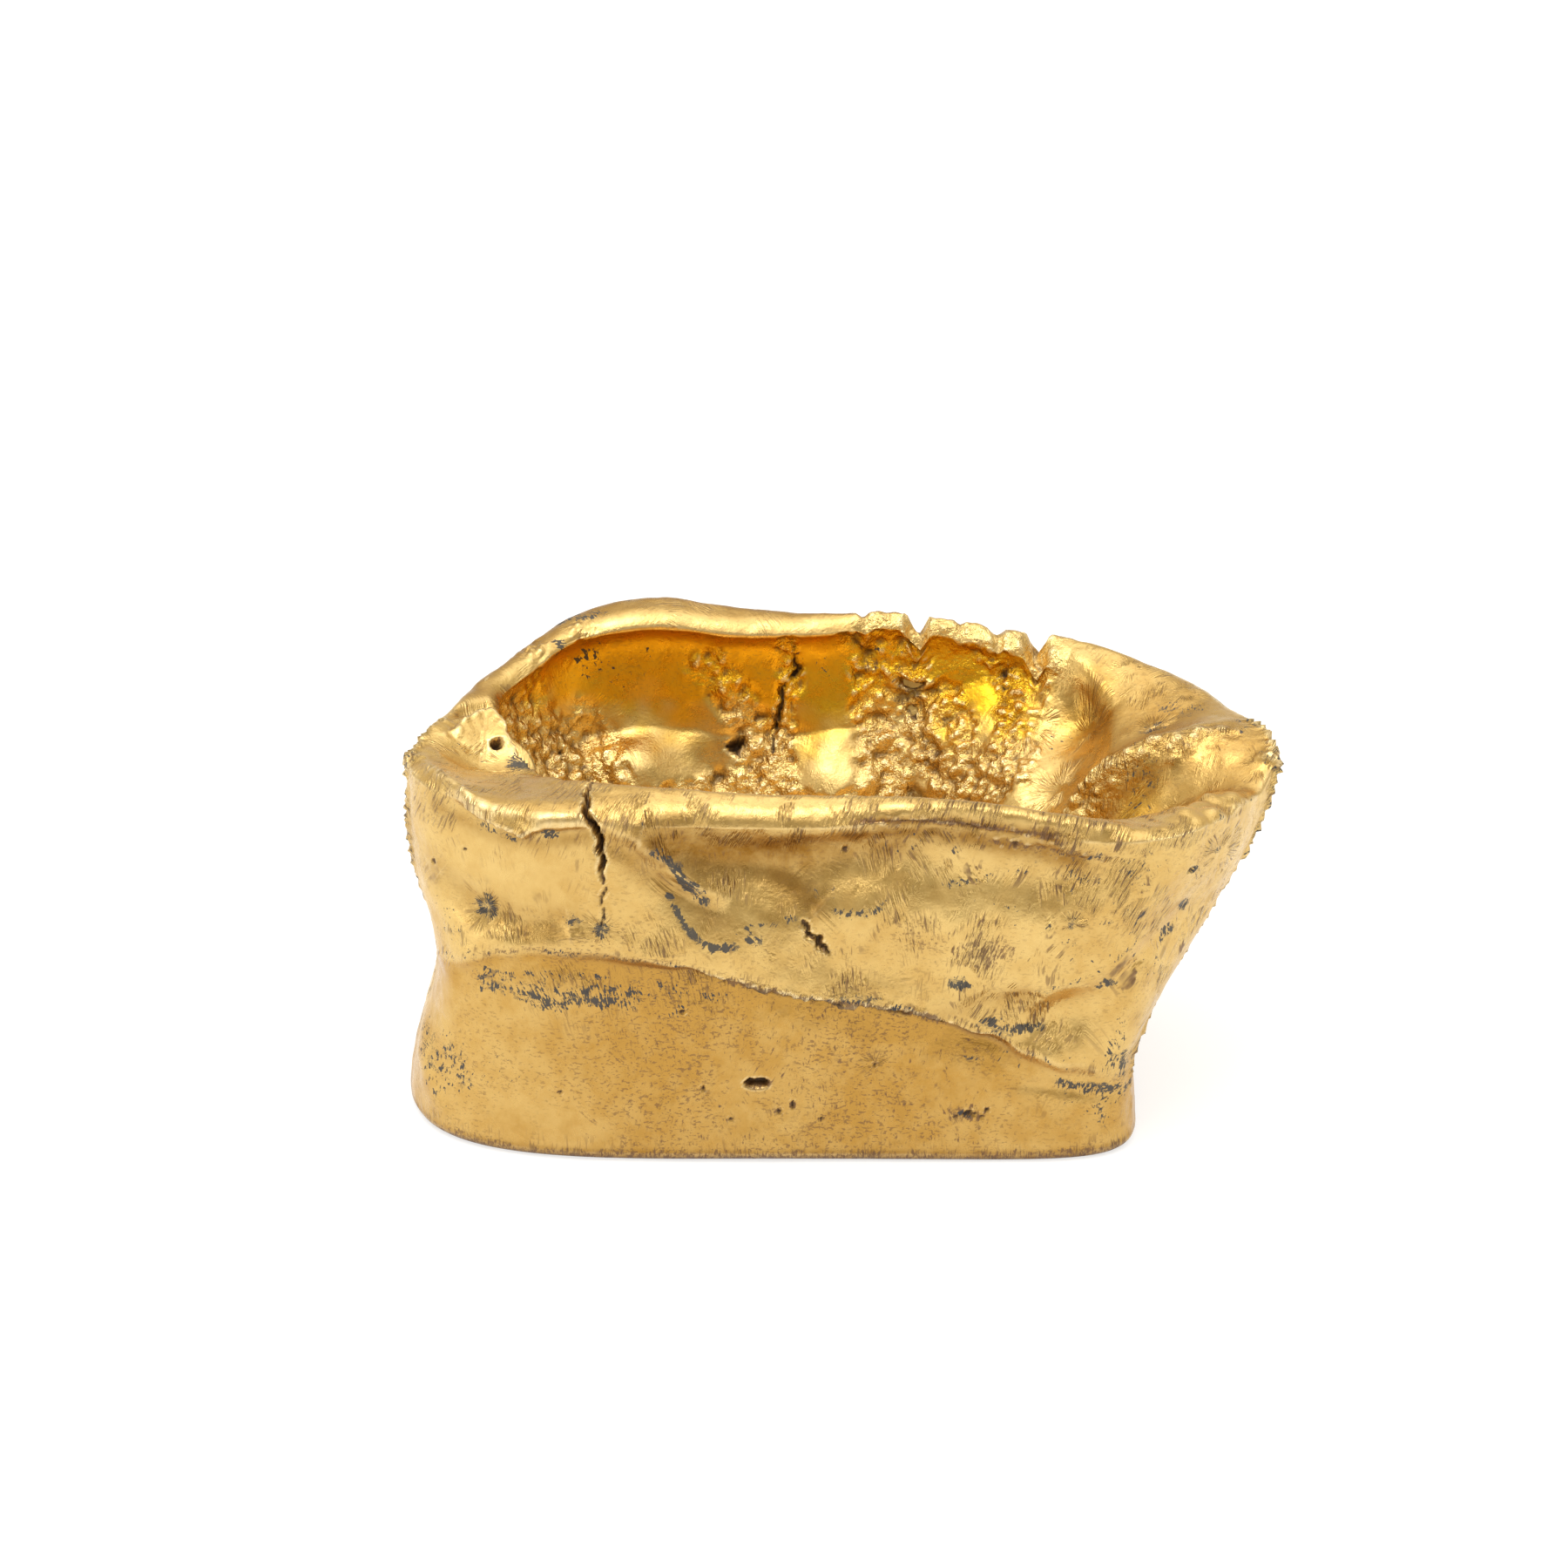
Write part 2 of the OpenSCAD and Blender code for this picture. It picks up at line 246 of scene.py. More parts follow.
# ---------------------------------------------------------------- the loft
def along_stations(s):
    """Closed Catmull-Rom curve through the stations."""
    i = np.floor(s).astype(int)
    k = (s - i)[:, None]
    a, b, c, d = (STATIONS[(i + j) % len(STATIONS)] for j in (-1, 0, 1, 2))
    return 0.5 * (2 * b + (c - a) * k + (2 * a - 5 * b + 4 * c - d) * k ** 2
                  + (3 * b - a - 3 * c + d) * k ** 3)


def foot_points(angle):
    c, s = np.cos(angle), np.sin(angle)
    half_x = np.where(c > 0, FOOT_RIGHT, FOOT_LEFT)
    half_y = np.where(s > 0, FOOT_BACK, FOOT_FRONT)
    n = np.where(c > 0, CORNER_RIGHT, CORNER_LEFT)
    r = (np.abs(c / half_x) ** n + np.abs(s / half_y) ** n) ** (-1 / n)
    return np.stack([r * c, r * s], axis=1)


def nearest(p, line):
    return np.stack([np.clip(p[:, 0], line[0], line[1]), np.full(len(p), line[2])], axis=1)


def column_stations(count):
    """Station positions of the columns, evenly spaced along the brim and closer at the front."""
    s = np.linspace(0, len(STATIONS), 4001)
    brim = along_stations(s)
    step = np.linalg.norm(np.diff(brim[:, :2], axis=0), axis=1)
    step *= 1 + 0.35 * smooth(0, -30, brim[1:, 1])
    run = np.concatenate([[0], np.cumsum(step)])
    return np.interp(np.linspace(0, run[-1], count, endpoint=False), run, s)


def folded(p):
    """The front fold: the skin above it overhangs, the flat band below it draws back."""
    x, y, z = p[..., 0], p[..., 1], p[..., 2]
    wave = (0.5 * np.sin(x / 2.9) + 0.35 * np.sin(x / 1.3 + 1)) * smooth(-40, -6, x)
    rise = z - np.interp(x, FOLD[:, 0], FOLD[:, 1]) - wave
    soft = 0.65 + 1.7 * smooth(-8, -34, x) + 1.3 * smooth(34, 50, x)
    side = smooth(-soft, soft, rise)
    reach = smooth(*FOLD_BACK, y) * smooth(*FOLD_RIGHT, x) * smooth(*FOLD_LEFT, x)
    step = FOLD_STEP + FOLD_EXTRA * bell(x - FOLD_DEEP_X, 22)
    over = side * np.exp(-np.maximum(0, rise) ** 2 / FOLD_SPREAD)
    under = (1 - side) * np.exp(-np.maximum(0, -rise) ** 2 / FOLD_SPREAD)
    out = p.copy()
    out[..., 1] -= reach * step * (over - 0.5 * under)
    return out


def dented(p):
    out = p.copy()
    for centre, reach, push in DENTS:
        w = np.exp(-(((p - np.array(centre)) / np.array(reach)) ** 2).sum(-1))
        out += w[..., None] * np.array(push, float)
    return out


def loft(columns, wall_rows, brim_rows, well_rows, floor_rows):
    """Rings of the skin, as rows x columns x 3, and for each row its part and its place in it."""
    s = column_stations(columns)
    st = along_stations(s)
    brim = np.stack([st[:, 0], st[:, 1], BRIM_H + st[:, 2]], axis=1)
    width, drop = st[:, 3:4], st[:, 4:5]
    cut, slope = np.maximum(0, st[:, 6:7]), np.clip(st[:, 7:8], 0, 1)
    # the foot points go round one way only, also where the spout's seam turns them back
    turned = np.unwrap(np.arctan2(brim[:, 1], brim[:, 0]) + np.radians(st[:, 5]))
    foot = foot_points(np.maximum.accumulate(turned) + 2e-6 * np.arange(columns))
    foot_r = np.linalg.norm(foot, axis=1, keepdims=True)
    inward = nearest(brim[:, :2], BRIM_LINE) - brim[:, :2]
    inward /= np.linalg.norm(inward, axis=1, keepdims=True)
    lip = np.hstack([brim[:, :2] + inward * width, brim[:, 2:3] - drop])
    line = nearest(lip[:, :2], FLOOR_LINE)
    edge = lip[:, :2] - line
    edge = line + edge / np.linalg.norm(edge, axis=1, keepdims=True) * FLOOR_R
    middle = np.array([(FLOOR_LINE[0] + FLOOR_LINE[1]) / 2, FLOOR_LINE[2]])
    level = np.ones((columns, 1))

    def floor_z(xy):
        return FLOOR_H + FLOOR_RISE * smooth(*FLOOR_CLIMB, xy[:, :1])

    rows, parts = [], []

    def add(part, t, points):
        rows.append(points)
        parts.append((part, t))

    for t in BASE_RINGS:
        add("base", t, np.hstack([foot * (1 - FOOT_ROUND / foot_r) * t, 0 * level]))
    for t in np.linspace(0, 1, EDGE_ROWS, endpoint=False):
        a = t * math.pi / 2
        inset = FOOT_ROUND * (1 - math.sin(a))
        add("edge", t, np.hstack([foot * (1 - inset / foot_r), FOOT_ROUND * (1 - math.cos(a)) * level]))
    right = smooth(20, 90, brim[:, :1])
    for t in np.linspace(0, 1, wall_rows, endpoint=False):
        flare = right * smooth(0.12, 1.03, t) / smooth(0.12, 1.03, 1.0) + (1 - right) * t ** 1.5
        xy = np.hstack([foot[:, :1] + (brim[:, :1] - foot[:, :1]) * flare,
                        foot[:, 1:] + (brim[:, 1:2] - foot[:, 1:]) * t ** 1.15])
        add("wall", t, np.hstack([xy, FOOT_ROUND + (brim[:, 2:3] - FOOT_ROUND) * t]))
    squareness = np.clip(width / 3, 2, 5)
    for t in np.linspace(0, 1, brim_rows, endpoint=False):
        p = brim + (lip - brim) * t
        p[:, 2:3] += BRIM_CROWN * (1 - np.abs(2 * t - 1) ** squareness)
        add("brim", t, p)
    for t in np.linspace(0, 1, well_rows):
        start = 0.32 * (1 - slope)
        share = 1 - np.clip((t - start) / (1 - start), 0, 1) ** 1.12
        fall = 1 - (1 - t) ** (1.55 - 0.3 * slope)
        tuck = 14 * t * math.exp(1 - 14 * t)
        xy = edge + (lip[:, :2] - edge) * share - inward * cut * tuck
        add("well", t, np.hstack([xy, lip[:, 2:3] + (floor_z(edge) - lip[:, 2:3]) * fall]))
    for t in np.linspace(0, 1, floor_rows + 1)[1:-1]:
        xy = edge + (middle - edge) * t
        add("floor", t, np.hstack([xy, floor_z(xy)]))

    skin = np.stack(rows)
    wall = np.array([part == "wall" for part, _ in parts])
    skin[wall] = folded(skin[wall])
    soft = np.array([part in ("wall", "brim", "well") for part, _ in parts])
    skin[soft] = dented(skin[soft])
    return s, skin, parts


# ---------------------------------------------------------------- cast detail
PAINTED = ("patina", "brown", "coarse", "amber_reflection", "black_shade", "deep", "shade")


class Skin:
    """The lofted skin with the coordinates that its details are placed in."""

    def __init__(self, columns, wall_rows, brim_rows, well_rows, floor_rows):
        self.s, self.p, self.parts = loft(columns, wall_rows, brim_rows, well_rows, floor_rows)
        names = np.array([part for part, _ in self.parts])
        self.first = {part: int(np.argmax(names == part)) for part in ("wall", "brim", "well", "floor")}
        self.x, self.y, self.z = (self.p[..., i].copy() for i in range(3))
        self.outer = self.rows(names, ("edge", "wall"))
        self.shell = self.rows(names, ("edge", "wall", "brim"))
        self.inner = self.rows(names, ("well", "floor"))
        self.top = self.rows(names, ("brim", "well"))
        self.front = smooth(-14, -24, self.y)
        self.back = smooth(10, 24, self.y)
        # height on the wall, carried on over the brim as the way travelled inwards
        step = np.linalg.norm(np.diff(self.p, axis=0), axis=2)
        run = np.vstack([np.zeros((1, step.shape[1])), np.cumsum(step, axis=0)])
        at_brim = run[self.first["brim"]]
        self.brim_z = self.z[self.first["brim"]]
        self.climb = np.where(self.outer > 0, self.z, self.brim_z + run - at_brim)
        self.normal = self.normals()
        # moves along the normal and straight up, and the painted fields, which run from 0 to 1
        self.push, self.lift = np.zeros((2, *self.x.shape))
        for name in PAINTED:
            setattr(self, name, np.zeros(self.x.shape))
        self.brown += 0.25
        # striations lie in small patches, each with its own direction, mostly up and down
        far, offset, own = patches(self.p, 8.0, 51)
        turn = 2 * math.pi * own[..., 0]
        lean = 0.9 * (own[..., 1] - 0.5)
        across = np.cos(turn) * offset[..., 0] + np.sin(turn) * offset[..., 1] + lean * offset[..., 2]
        along = np.sin(turn) * offset[..., 0] - np.cos(turn) * offset[..., 1] + offset[..., 2]
        self.hair = np.stack([across + 40 * own[..., 1], along, 0 * along], axis=-1)
        self.hair_weight = (0.1 + 0.6 * own[..., 2]) * smooth(0.95, 0.4, far) * (1 - 0.6 * self.inner)
        self.ragged = noise(self.p, 2.2, 37)

    def rows(self, names, wanted):
        return np.isin(names, wanted).astype(float)[:, None] * np.ones(self.p.shape[1])

    def normals(self):
        across = np.roll(self.p, -1, axis=1) - np.roll(self.p, 1, axis=1)
        up = np.gradient(self.p, axis=0)
        n = np.cross(across, up)
        return n / np.maximum(1e-9, np.linalg.norm(n, axis=2, keepdims=True))

    def from_seam(self, station, side, lean):
        """Signed way round the ring from the seam, which follows the outline of that end."""
        step = np.linalg.norm(np.roll(self.p, -1, axis=1) - self.p, axis=2)
        run = np.cumsum(step, axis=1) - step
        total = step.sum(axis=1, keepdims=True)
        here = int(np.argmin(np.abs(self.s - station)))
        d = run - run[:, here:here + 1]
        d = (d + total / 2) % total - total / 2
        reach = np.where(np.abs(d) < 24, side * self.x - lean * self.y - 0.04 * np.abs(d), -1e9)
        rows = np.arange(len(d))
        offset = d[rows, np.argmax(reach, axis=1)]
        last = self.first["brim"]
        offset[last:] = offset[last - 1]
        window = np.ones(2 * EVEN_ROWS + 1) / (2 * EVEN_ROWS + 1)
        even = np.convolve(np.pad(offset, EVEN_ROWS, mode="edge"), window, mode="valid")
        return d - even[:, None]

    def comb(self, weight, across, along):
        """Lay cast striations: they run the way that along grows, and are told apart by across."""
        best = weight > self.hair_weight
        self.hair_weight = np.where(best, weight, self.hair_weight)
        self.hair[..., 0] = np.where(best, across, self.hair[..., 0])
        self.hair[..., 1] = np.where(best, along, self.hair[..., 1])

    def paint(self, name, share):
        """Raise one of the painted fields to a share, wherever it is less."""
        setattr(self, name, np.maximum(getattr(self, name), share))

    def lumps(self, size, seed):
        """Rounded grains of rough casting, about -0.5 to 0.6."""
        return 0.6 - grains(self.p, size, seed)


class Area:
    """Part of the skin, with the mask and the two measures that its details are placed by."""

    def __init__(self, k, mask, x, y):
        self.k, self.mask, self.x, self.y = k, mask, x, y

    def line(self, points, sharp=4, power=0.5):
        """Distance to a line, signed side, and a share that tapers to the line's ends."""
        d, side, run = to_line(self.x, self.y, points)
        size = sum(math.dist(a, b) for a, b in zip(points[:-1], points[1:]))
        return d, side, np.clip(sharp * run / size * (1 - run / size), 0, 1) ** power

    def fan(self, x0, y0, reach, weight):
        """Striations that spread from a point, told apart by their angle."""
        d = np.hypot(self.x - x0, self.y - y0)
        turn = np.arctan2(self.y - y0, self.x - x0) * reach * 0.7
        self.k.comb(self.mask * weight * np.exp(-(d / reach) ** 2 / 1.2), turn, d)

    def pit(self, x0, y0, rx, ry, depth, ragged=0.25, bead=0.1):
        """A blowhole with a slightly raised edge."""
        wobble = 1 + ragged * noise(self.k.p, 0.9, 31)
        r = np.hypot((self.x - x0) / rx, (self.y - y0) / ry) * wobble
        self.k.push -= self.mask * depth * smooth(1.05, 0.55, r)
        self.k.push += self.mask * bead * bell(r - 1.35, 0.3)
        # brown round the hole is patina, and the black in it is painted shade
        self.k.paint("brown", self.mask * smooth(1.5, 0.9, r))
        self.k.paint("black_shade", self.mask * 0.9 * smooth(0.95, 0.5, r))

    def crack(self, points, half, depth, ragged):
        """A split that follows a line and narrows to its ends."""
        d, _, taper = self.line(points, power=0.4)
        open_half = half * taper * (1 + ragged * noise(self.k.p, 1.3, 7))
        r = d / np.maximum(0.12, open_half)
        self.k.push -= self.mask * depth * taper * smooth(1.3, 0.5, r)
        # brown along the split is patina, and the black in it is painted shade
        self.k.paint("brown", self.mask * smooth(1.8, 0.9, r))
        self.k.paint("black_shade", self.mask * 0.8 * smooth(1.1, 0.5, r))

    def ridge(self, points, reach, height, fall=None):
        """A crest, or a groove where height is negative; fall is its reach on the line's right."""
        d, side, taper = self.line(points)
        wide = np.where(side > 0, reach, fall if fall else reach)
        self.k.push += self.mask * height * taper * bell(d, wide)

    def step(self, points, height, high_reach, low_reach, edge, roll=0.0, paint=0.7):
        """Skin that overlaps: raised on the left of a line, drawn back on its right."""
        d, side, taper = self.line(points, sharp=5, power=0.6)
        signed = d * np.sign(side) + 0.35 * noise(self.k.p, 2.4, 23)
        up = smooth(-edge, edge, signed)
        shape = up * bell(np.maximum(0, signed), high_reach) - 0.45 * (1 - up) * bell(signed, low_reach)
        self.k.push += self.mask * taper * (height * shape + roll * bell(signed - 1.6, 1.3))
        # brown along the step's face, partly patina and partly painted shade under the overlap
        self.k.paint("brown", self.mask * taper * paint * bell(signed + 0.2 * edge, edge))

    def settle(self, r, strength, field):
        """A stain with a ragged edge, given the distance from its middle in its own size."""
        self.k.paint(field, self.mask * strength * smooth(1.5, 0.35, r + 0.3 * self.k.ragged))

    def stain(self, x0, y0, rx, ry, strength, field="patina"):
        self.settle(np.hypot((self.x - x0) / rx, (self.y - y0) / ry), strength, field)

    def stain_line(self, points, reach, strength, field="patina"):
        self.settle(self.line(points)[0] / reach, strength, field)

    def blot(self, x0, y0, rx, ry):
        """A soft round share, 1 in the middle."""
        return self.mask * np.exp(-((self.x - x0) / rx) ** 2 - ((self.y - y0) / ry) ** 2)


def tooth(v, size, seed):
    """A torn edge: uneven saw teeth along v, in 0..1."""
    line = np.stack([v / size, 0 * v, 0 * v], axis=-1)
    q = v / size + 0.6 * noise(line, 1.7, seed)
    cell = np.floor(q)
    tall = lattice(np.stack([cell, 0 * cell, 0 * cell], axis=-1).astype(np.int64), seed + 5)
    return (0.35 + 0.65 * tall) * (1 - (q - cell)) ** 1.3


def seams(k):
    """The two serrated seams, and the torn edge of the brim behind each tip."""
    for station, side, lean, low_teeth, reach_back, seed in (
            (SPOUT_SEAM, 1, 0.27, 0.6, 20, 3), (LEFT_SEAM, -1, 0.1, 0.15, -24, 11)):
        d = k.from_seam(station, side, lean)
        shell = k.shell * smooth(0, 14, k.climb) * smooth(5, 1, k.climb - k.brim_z)
        high = smooth(30, 66, k.climb)
        k.push += shell * (0.5 * low_teeth + 0.5 * high) * bell(d, 1.7)
        k.push += shell * (low_teeth + 0.9 * high) * bell(d, 1.1) * tooth(k.climb, 1.8, seed)
        k.push += shell * bell(d, 3) * k.lumps(2, seed + 40) * high
        edge = k.climb - k.brim_z
        behind = smooth(0, 2, d * np.sign(reach_back)) * smooth(abs(reach_back), 8, d * np.sign(reach_back))
        k.push += k.shell * behind * 1.6 * bell(edge, 1.3) * tooth(d, 1.7, seed + 1)
        k.lift += k.shell * behind * 1.5 * bell(edge, 1.4) * tooth(d, 2.6, seed + 2)
        k.comb(shell * 0.95 * bell(d, 6.5), k.climb + 0.3 * np.abs(d), np.abs(d))
        k.paint("patina", shell * (0.55 + 0.15 * high) * bell(d, 3.4))
        k.paint("brown", shell * 0.6 * bell(d, 1.4))


class Front(Area):
    """The front wall, placed by x and height, with the height above the fold."""

    def __init__(self, k):
        super().__init__(k, k.shell * k.front, k.x, k.climb)
        self.rise = self.y - np.interp(self.x, FOLD[:, 0], FOLD[:, 1])

    def measures(self):
        return self.k, self.mask, self.x, self.y, self.rise


def front_wall(k):
    """Features of the front, in the order that they build on each other."""
    front = Front(k)
    for detail in (
            front_calm, front_relief, front_openings, front_striations, front_crevice, front_tones,
            front_patina):
        detail(front)


def front_calm(front):
    """The band below the fold and the upper left panel, which are almost free of striations."""
    k, m, x, h, rise = front.measures()
    panel = smooth(-62, -58, x) * smooth(-34, -40, x) * smooth(50, 54, h) * smooth(68, 64, h)
    calm = m * np.maximum(smooth(1, -3, rise) * smooth(56, 40, x), panel)
    k.hair_weight *= 1 - 0.85 * calm
    k.brown *= 1 - 0.9 * m * panel


def front_relief(front):
    """Rolls, hollows, lips and the tongue of the front."""
    k, m, x, h, _ = front.measures()
    # slanting roll that comes down from the brim to the right of its crack
    roll = [(-32.5, 69.5), (-30.8, 68.4), (-25.8, 66), (-19.9, 60.4), (-14, 55.4), (-8, 53.5)]
    front.step(roll, 1.5, 4.5, 5, edge=1.8, paint=0)
    # trough under the lip, in two branches, and the groove that carries it on to the right
    for groove in (
            ([(-24, 68), (-14, 65.3), (-5.8, 62.5), (3, 58), (8, 53)], 4.6, -1.3),
            ([(-8, 63.5), (4, 63.5), (13, 63), (21, 61.5)], 4.6, -0.9),
            ([(16, 68.4), (24, 69), (34, 69), (44, 67.6), (52, 64)], 2.4, -1.1)):
        front.ridge(*groove)
    # lower edge of the lip, left of the crack
    front.step([(-66, 73.5), (-61, 72), (-56, 70), (-50, 67.8), (-45.5, 66.6), (-42, 68.4), (-36, 69.3),
                (-32.3, 68.9)], 1.5, 5, 4.2, edge=1.1, roll=0.7)
    torn = m * smooth(-34, -38, x)
    torn = torn * bell(h - np.interp(x, (-66, -56, -45.5, -36), (74.5, 71, 67.8, 70)), 1.6)
    k.push += torn * 0.9 * k.lumps(1.8, 73)
    k.paint("brown", 0.45 * torn)
    # soft underside of the lip, right of the middle, and its thick end
    front.step([(-2, 66.5), (8, 66.5), (17, 67.4), (28, 68.4), (38, 67.6), (46, 66.4), (55, 65), (63, 64.2),
                (70, 63.6)], 0.8, 3, 4.5, edge=2.4, paint=0)
    front.ridge([(30, 73.4), (42, 72.4), (52, 70.6), (58, 69.6), (66, 69.4)], 2.4, 1.3, fall=1.7)
    # ragged underside of the lip's crest: lumps, with brown and painted shade below the crest
    ragged = m * smooth(12, 18, x) * smooth(58, 50, x)
    ragged *= bell(h - np.interp(x, (16, 34, 46, 58), (70.3, 70.2, 68.6, 66.8)), 1.3)
    k.push += ragged * (0.9 * k.lumps(1.7, 75) - 0.5)
    k.paint("brown", 0.95 * ragged)
    k.paint("shade", ragged)
    chipped = m * smooth(34, 40, x) * smooth(66, 60, x)
    chipped = chipped * bell(h - np.interp(x, (36, 46, 60), (67, 65.6, 63.6)), 1.3)
    k.push += chipped * k.lumps(1.7, 67)
    k.paint("brown", 0.8 * chipped)
    # tongue at the end of the front fold, with its pocket
    front.step([(30.7, 30.6), (37.7, 28.6), (42, 27.4), (46.5, 27.6), (51, 33), (58.3, 37), (63.8, 39.4),
                (70.1, 45.2), (78, 50)], 1, 7, 5, edge=3, paint=0)
    pocket = [(28, 30.5), (35.3, 33.6), (39.9, 36), (47.5, 36.6), (56, 35.5)]
    front.step(pocket, 0.7, 5, 4, edge=2.8, paint=0)
    # crests and grooves beside it, then those left of the middle and at the lower left corner
    for crease in (
            ([(54, 24), (62, 29), (70, 33)], 3.4, 0.7), ([(44, 16.5), (54, 15), (66, 12)], 1.6, -0.6),
            ([(-62, 54), (-55, 49.5), (-47, 48), (-38, 49.5)], 3.8, -1.6),
            ([(-57, 46), (-46, 45.5), (-34, 46.5), (-22, 45)], 2.2, 0.6),
            ([(-66, 40), (-60, 33), (-62, 24)], 2.2, 0.5),
            ([(-66.5, 26), (-66, 14), (-63, 5)], 1.4, 0.7, 2.2), ([(8, 50), (18, 54), (30, 58)], 5, 1)):
        front.ridge(*crease)


def front_openings(front):
    """Cracks and blowholes of the front."""
    # the crack through the brim, and the ragged split on the middle of the wall
    for split in (
            ([(-31.2, 58.5), (-31.8, 61), (-31.2, 63), (-32, 65), (-31.6, 67), (-32.8, 69.5), (-34.4, 72),
              (-34, 75), (-34.6, 78), (-33.4, 82)], 0.5, 3.6, 0.5),
            ([(-31.3, 60), (-30.8, 57), (-31.8, 55), (-31, 52), (-31.8, 49.5)], 0.2, 0.7, 0.6),
            ([(5.2, 51), (6.4, 49.6), (6.2, 48.4), (8.4, 47.6), (8.2, 46.4), (9.6, 46), (10.6, 44.4)],
             0.5, 1.6, 0.9),
            ([(34, 9.6), (37, 10.4), (40, 9.2)], 0.3, 0.7, 0.9)):
        front.crack(*split)
    # blowholes
    for hole in (
            (-3, 16.3, 2.4, 0.95, 2.2), (-13.2, 15.4, 0.45, 0.45, 0.9), (3.6, 11.8, 0.5, 0.9, 0.8),
            (-17, 31.4, 0.7, 0.35, 0.7), (44.3, 66.2, 0.5, 0.5, 1), (77.5, 57, 0.6, 0.6, 1),
            (13.2, 63.5, 0.5, 0.4, 0.9), (-63.5, 56, 0.4, 0.5, 0.6), (1, 10.5, 0.5, 0.5, 0.7),
            (19, 20.4, 0.35, 0.35, 0.5), (-8, 9, 0.5, 0.3, 0.5), (-40, 14, 0.4, 0.4, 0.5),
            (9, 9, 0.5, 0.4, 0.6), (-57, 61, 0.3, 0.3, 0.4), (40, 11, 0.5, 0.5, 0.6)):
        front.pit(*hole)


def front_striations(front):
    """Striations across the lip, up from the fold and the foot, and in fans and bowed patches."""
    k, m, x, h, rise = front.measures()
    k.comb(m * 0.75 * smooth(60, 66, h), x - 0.35 * (h - 66), h)
    k.comb(m * 0.9 * bell(rise - 1.2, 2.2), x - 0.2 * rise, h)
    k.comb(m * 0.7 * smooth(7, 1, h), x, h)
    for burst in (
            (-13.2, 15.4, 3), (19, 20.4, 3), (83, 58, 5), (55, 51, 4), (-53.5, 50, 5), (-31.6, 49, 4)):
        front.fan(*burst, 0.9)
    for x0, h0, reach, lean in (
            (38, 46, 7, -0.3), (24, 50, 8, 0.2), (47, 31, 6, 0.1), (-48, 48, 7, 0.2), (-22, 46, 7, 0.3),
            (30, 65, 8, 0.5), (20, 65, 6, 0.2), (60, 58, 8, -0.5), (68, 50, 6, -0.6), (-54, 68, 8, 0.2),
            (-8, 57, 5, 0), (-20, 70, 9, 0.15), (4, 70, 9, -0.1), (-36, 36, 8, 0.3), (-14, 37, 8, 0.2),
            (12, 40, 8, 0.1)):
        near = np.exp(-((x - x0) ** 2 + (h - h0) ** 2) / reach ** 2)
        bow = 0.02 * (x - x0) * (h - h0)
        k.comb(m * near, x - x0 + lean * (h - h0) - bow, h - h0)


def front_crevice(front):
    """The middle of the fold, which has opened into a rough crevice."""
    k, m, x, _, rise = front.measures()
    gap = m * smooth(-16, -6, x) * smooth(37, 29, x)
    beads = gap * bell(rise - 0.9, 1.2)
    k.push += beads * 1.2 * k.lumps(1.6, 63)
    k.paint("coarse", beads)
    hollow = gap * bell(rise + 0.2, 0.9) * smooth(-0.6, 0.1, noise(k.p, 2.4, 65))
    k.push -= 0.9 * hollow
    k.paint("brown", gap * smooth(3.4, 0.8, np.abs(rise)))
    # black in the hollow of the crevice is painted shade
    k.paint("black_shade", 0.8 * smooth(0.2, 0.7, hollow))
    # farther left the fold is edged with ticks
    ticks = m * smooth(-60, -52, x) * smooth(-10, -16, x) * bell(rise - 0.8, 1.5)
    k.paint("brown", 0.75 * ticks)
    k.paint("patina", 0.5 * ticks)


def front_tones(front):
    """Denser striations on the right, and painted shade: darker gold low down and under the fold, in the
    trough, under the lip and along the foot.
    """
    k, m, x, h, rise = front.measures()
    k.hair_weight *= 1 + 1.1 * m * smooth(24, 40, x) * smooth(26, 34, h)
    k.hair_weight = np.minimum(1, k.hair_weight)
    # below the fold the gold is painted darker, as shade and a dimmer reflection under its overhang,
    # darkest right under its edge; lower down the wall is painted darker towards the foot
    below = smooth(0.6, -0.8, rise) * smooth(60, 34, x) * (0.6 + 0.4 * smooth(-50, -20, x))
    k.paint("deep", m * (0.15 + below * (0.65 + 0.45 * smooth(-9, 0, rise))))
    k.paint("deep", k.outer * 0.6 * smooth(26, 8, h))
    # brown below the fold and right under its edge, partly patina and partly painted shade
    k.paint("brown", m * 0.55 * below)
    under = smooth(1, 0.5, rise) * smooth(-1.6, -0.7, rise) * (0.45 + 0.55 * bell(x - 10, 22))
    k.paint("brown", m * under * 0.95)
    # painted shade along the foot's rounded edge, where the contact shadow falls, with brown that is partly
    # dirt and black right at the bottom
    foot = k.outer * smooth(3.4, 0.8, h)
    k.paint("shade", foot)
    k.paint("brown", 0.8 * foot)
    k.paint("black_shade", 0.35 * k.outer * smooth(1.4, 0.3, h))
    # painted shade in the trough, beside the roll, under the lip and in the shallow hollows
    for line, reach, strength in (
            ([(-21, 66), (-14, 64), (-6, 63), (5, 63)], 4.4, 1), ([(-3, 61), (3, 58), (8, 54)], 2.6, 0.65),
            ([(5, 63), (14, 64), (24, 65)], 3.2, 0.75),
            ([(14, 66.6), (26, 67.6), (38, 66.8), (48, 65), (56, 63)], 2.2, 0.85),
            ([(-30, 65.5), (-24, 61.5), (-17, 55.5), (-10, 51.5)], 2.4, 0.5),
            ([(-62, 68), (-52, 65.4), (-44, 65), (-34, 67)], 1.6, 0.5),
            ([(-62, 54), (-54, 49.5), (-46, 48), (-38, 49.5)], 3.4, 0.35),
            ([(28, 30.5), (36, 33.5), (46, 35.5)], 1.8, 0.3)):
        k.paint("shade", m * strength * bell(front.line(line)[0], reach))


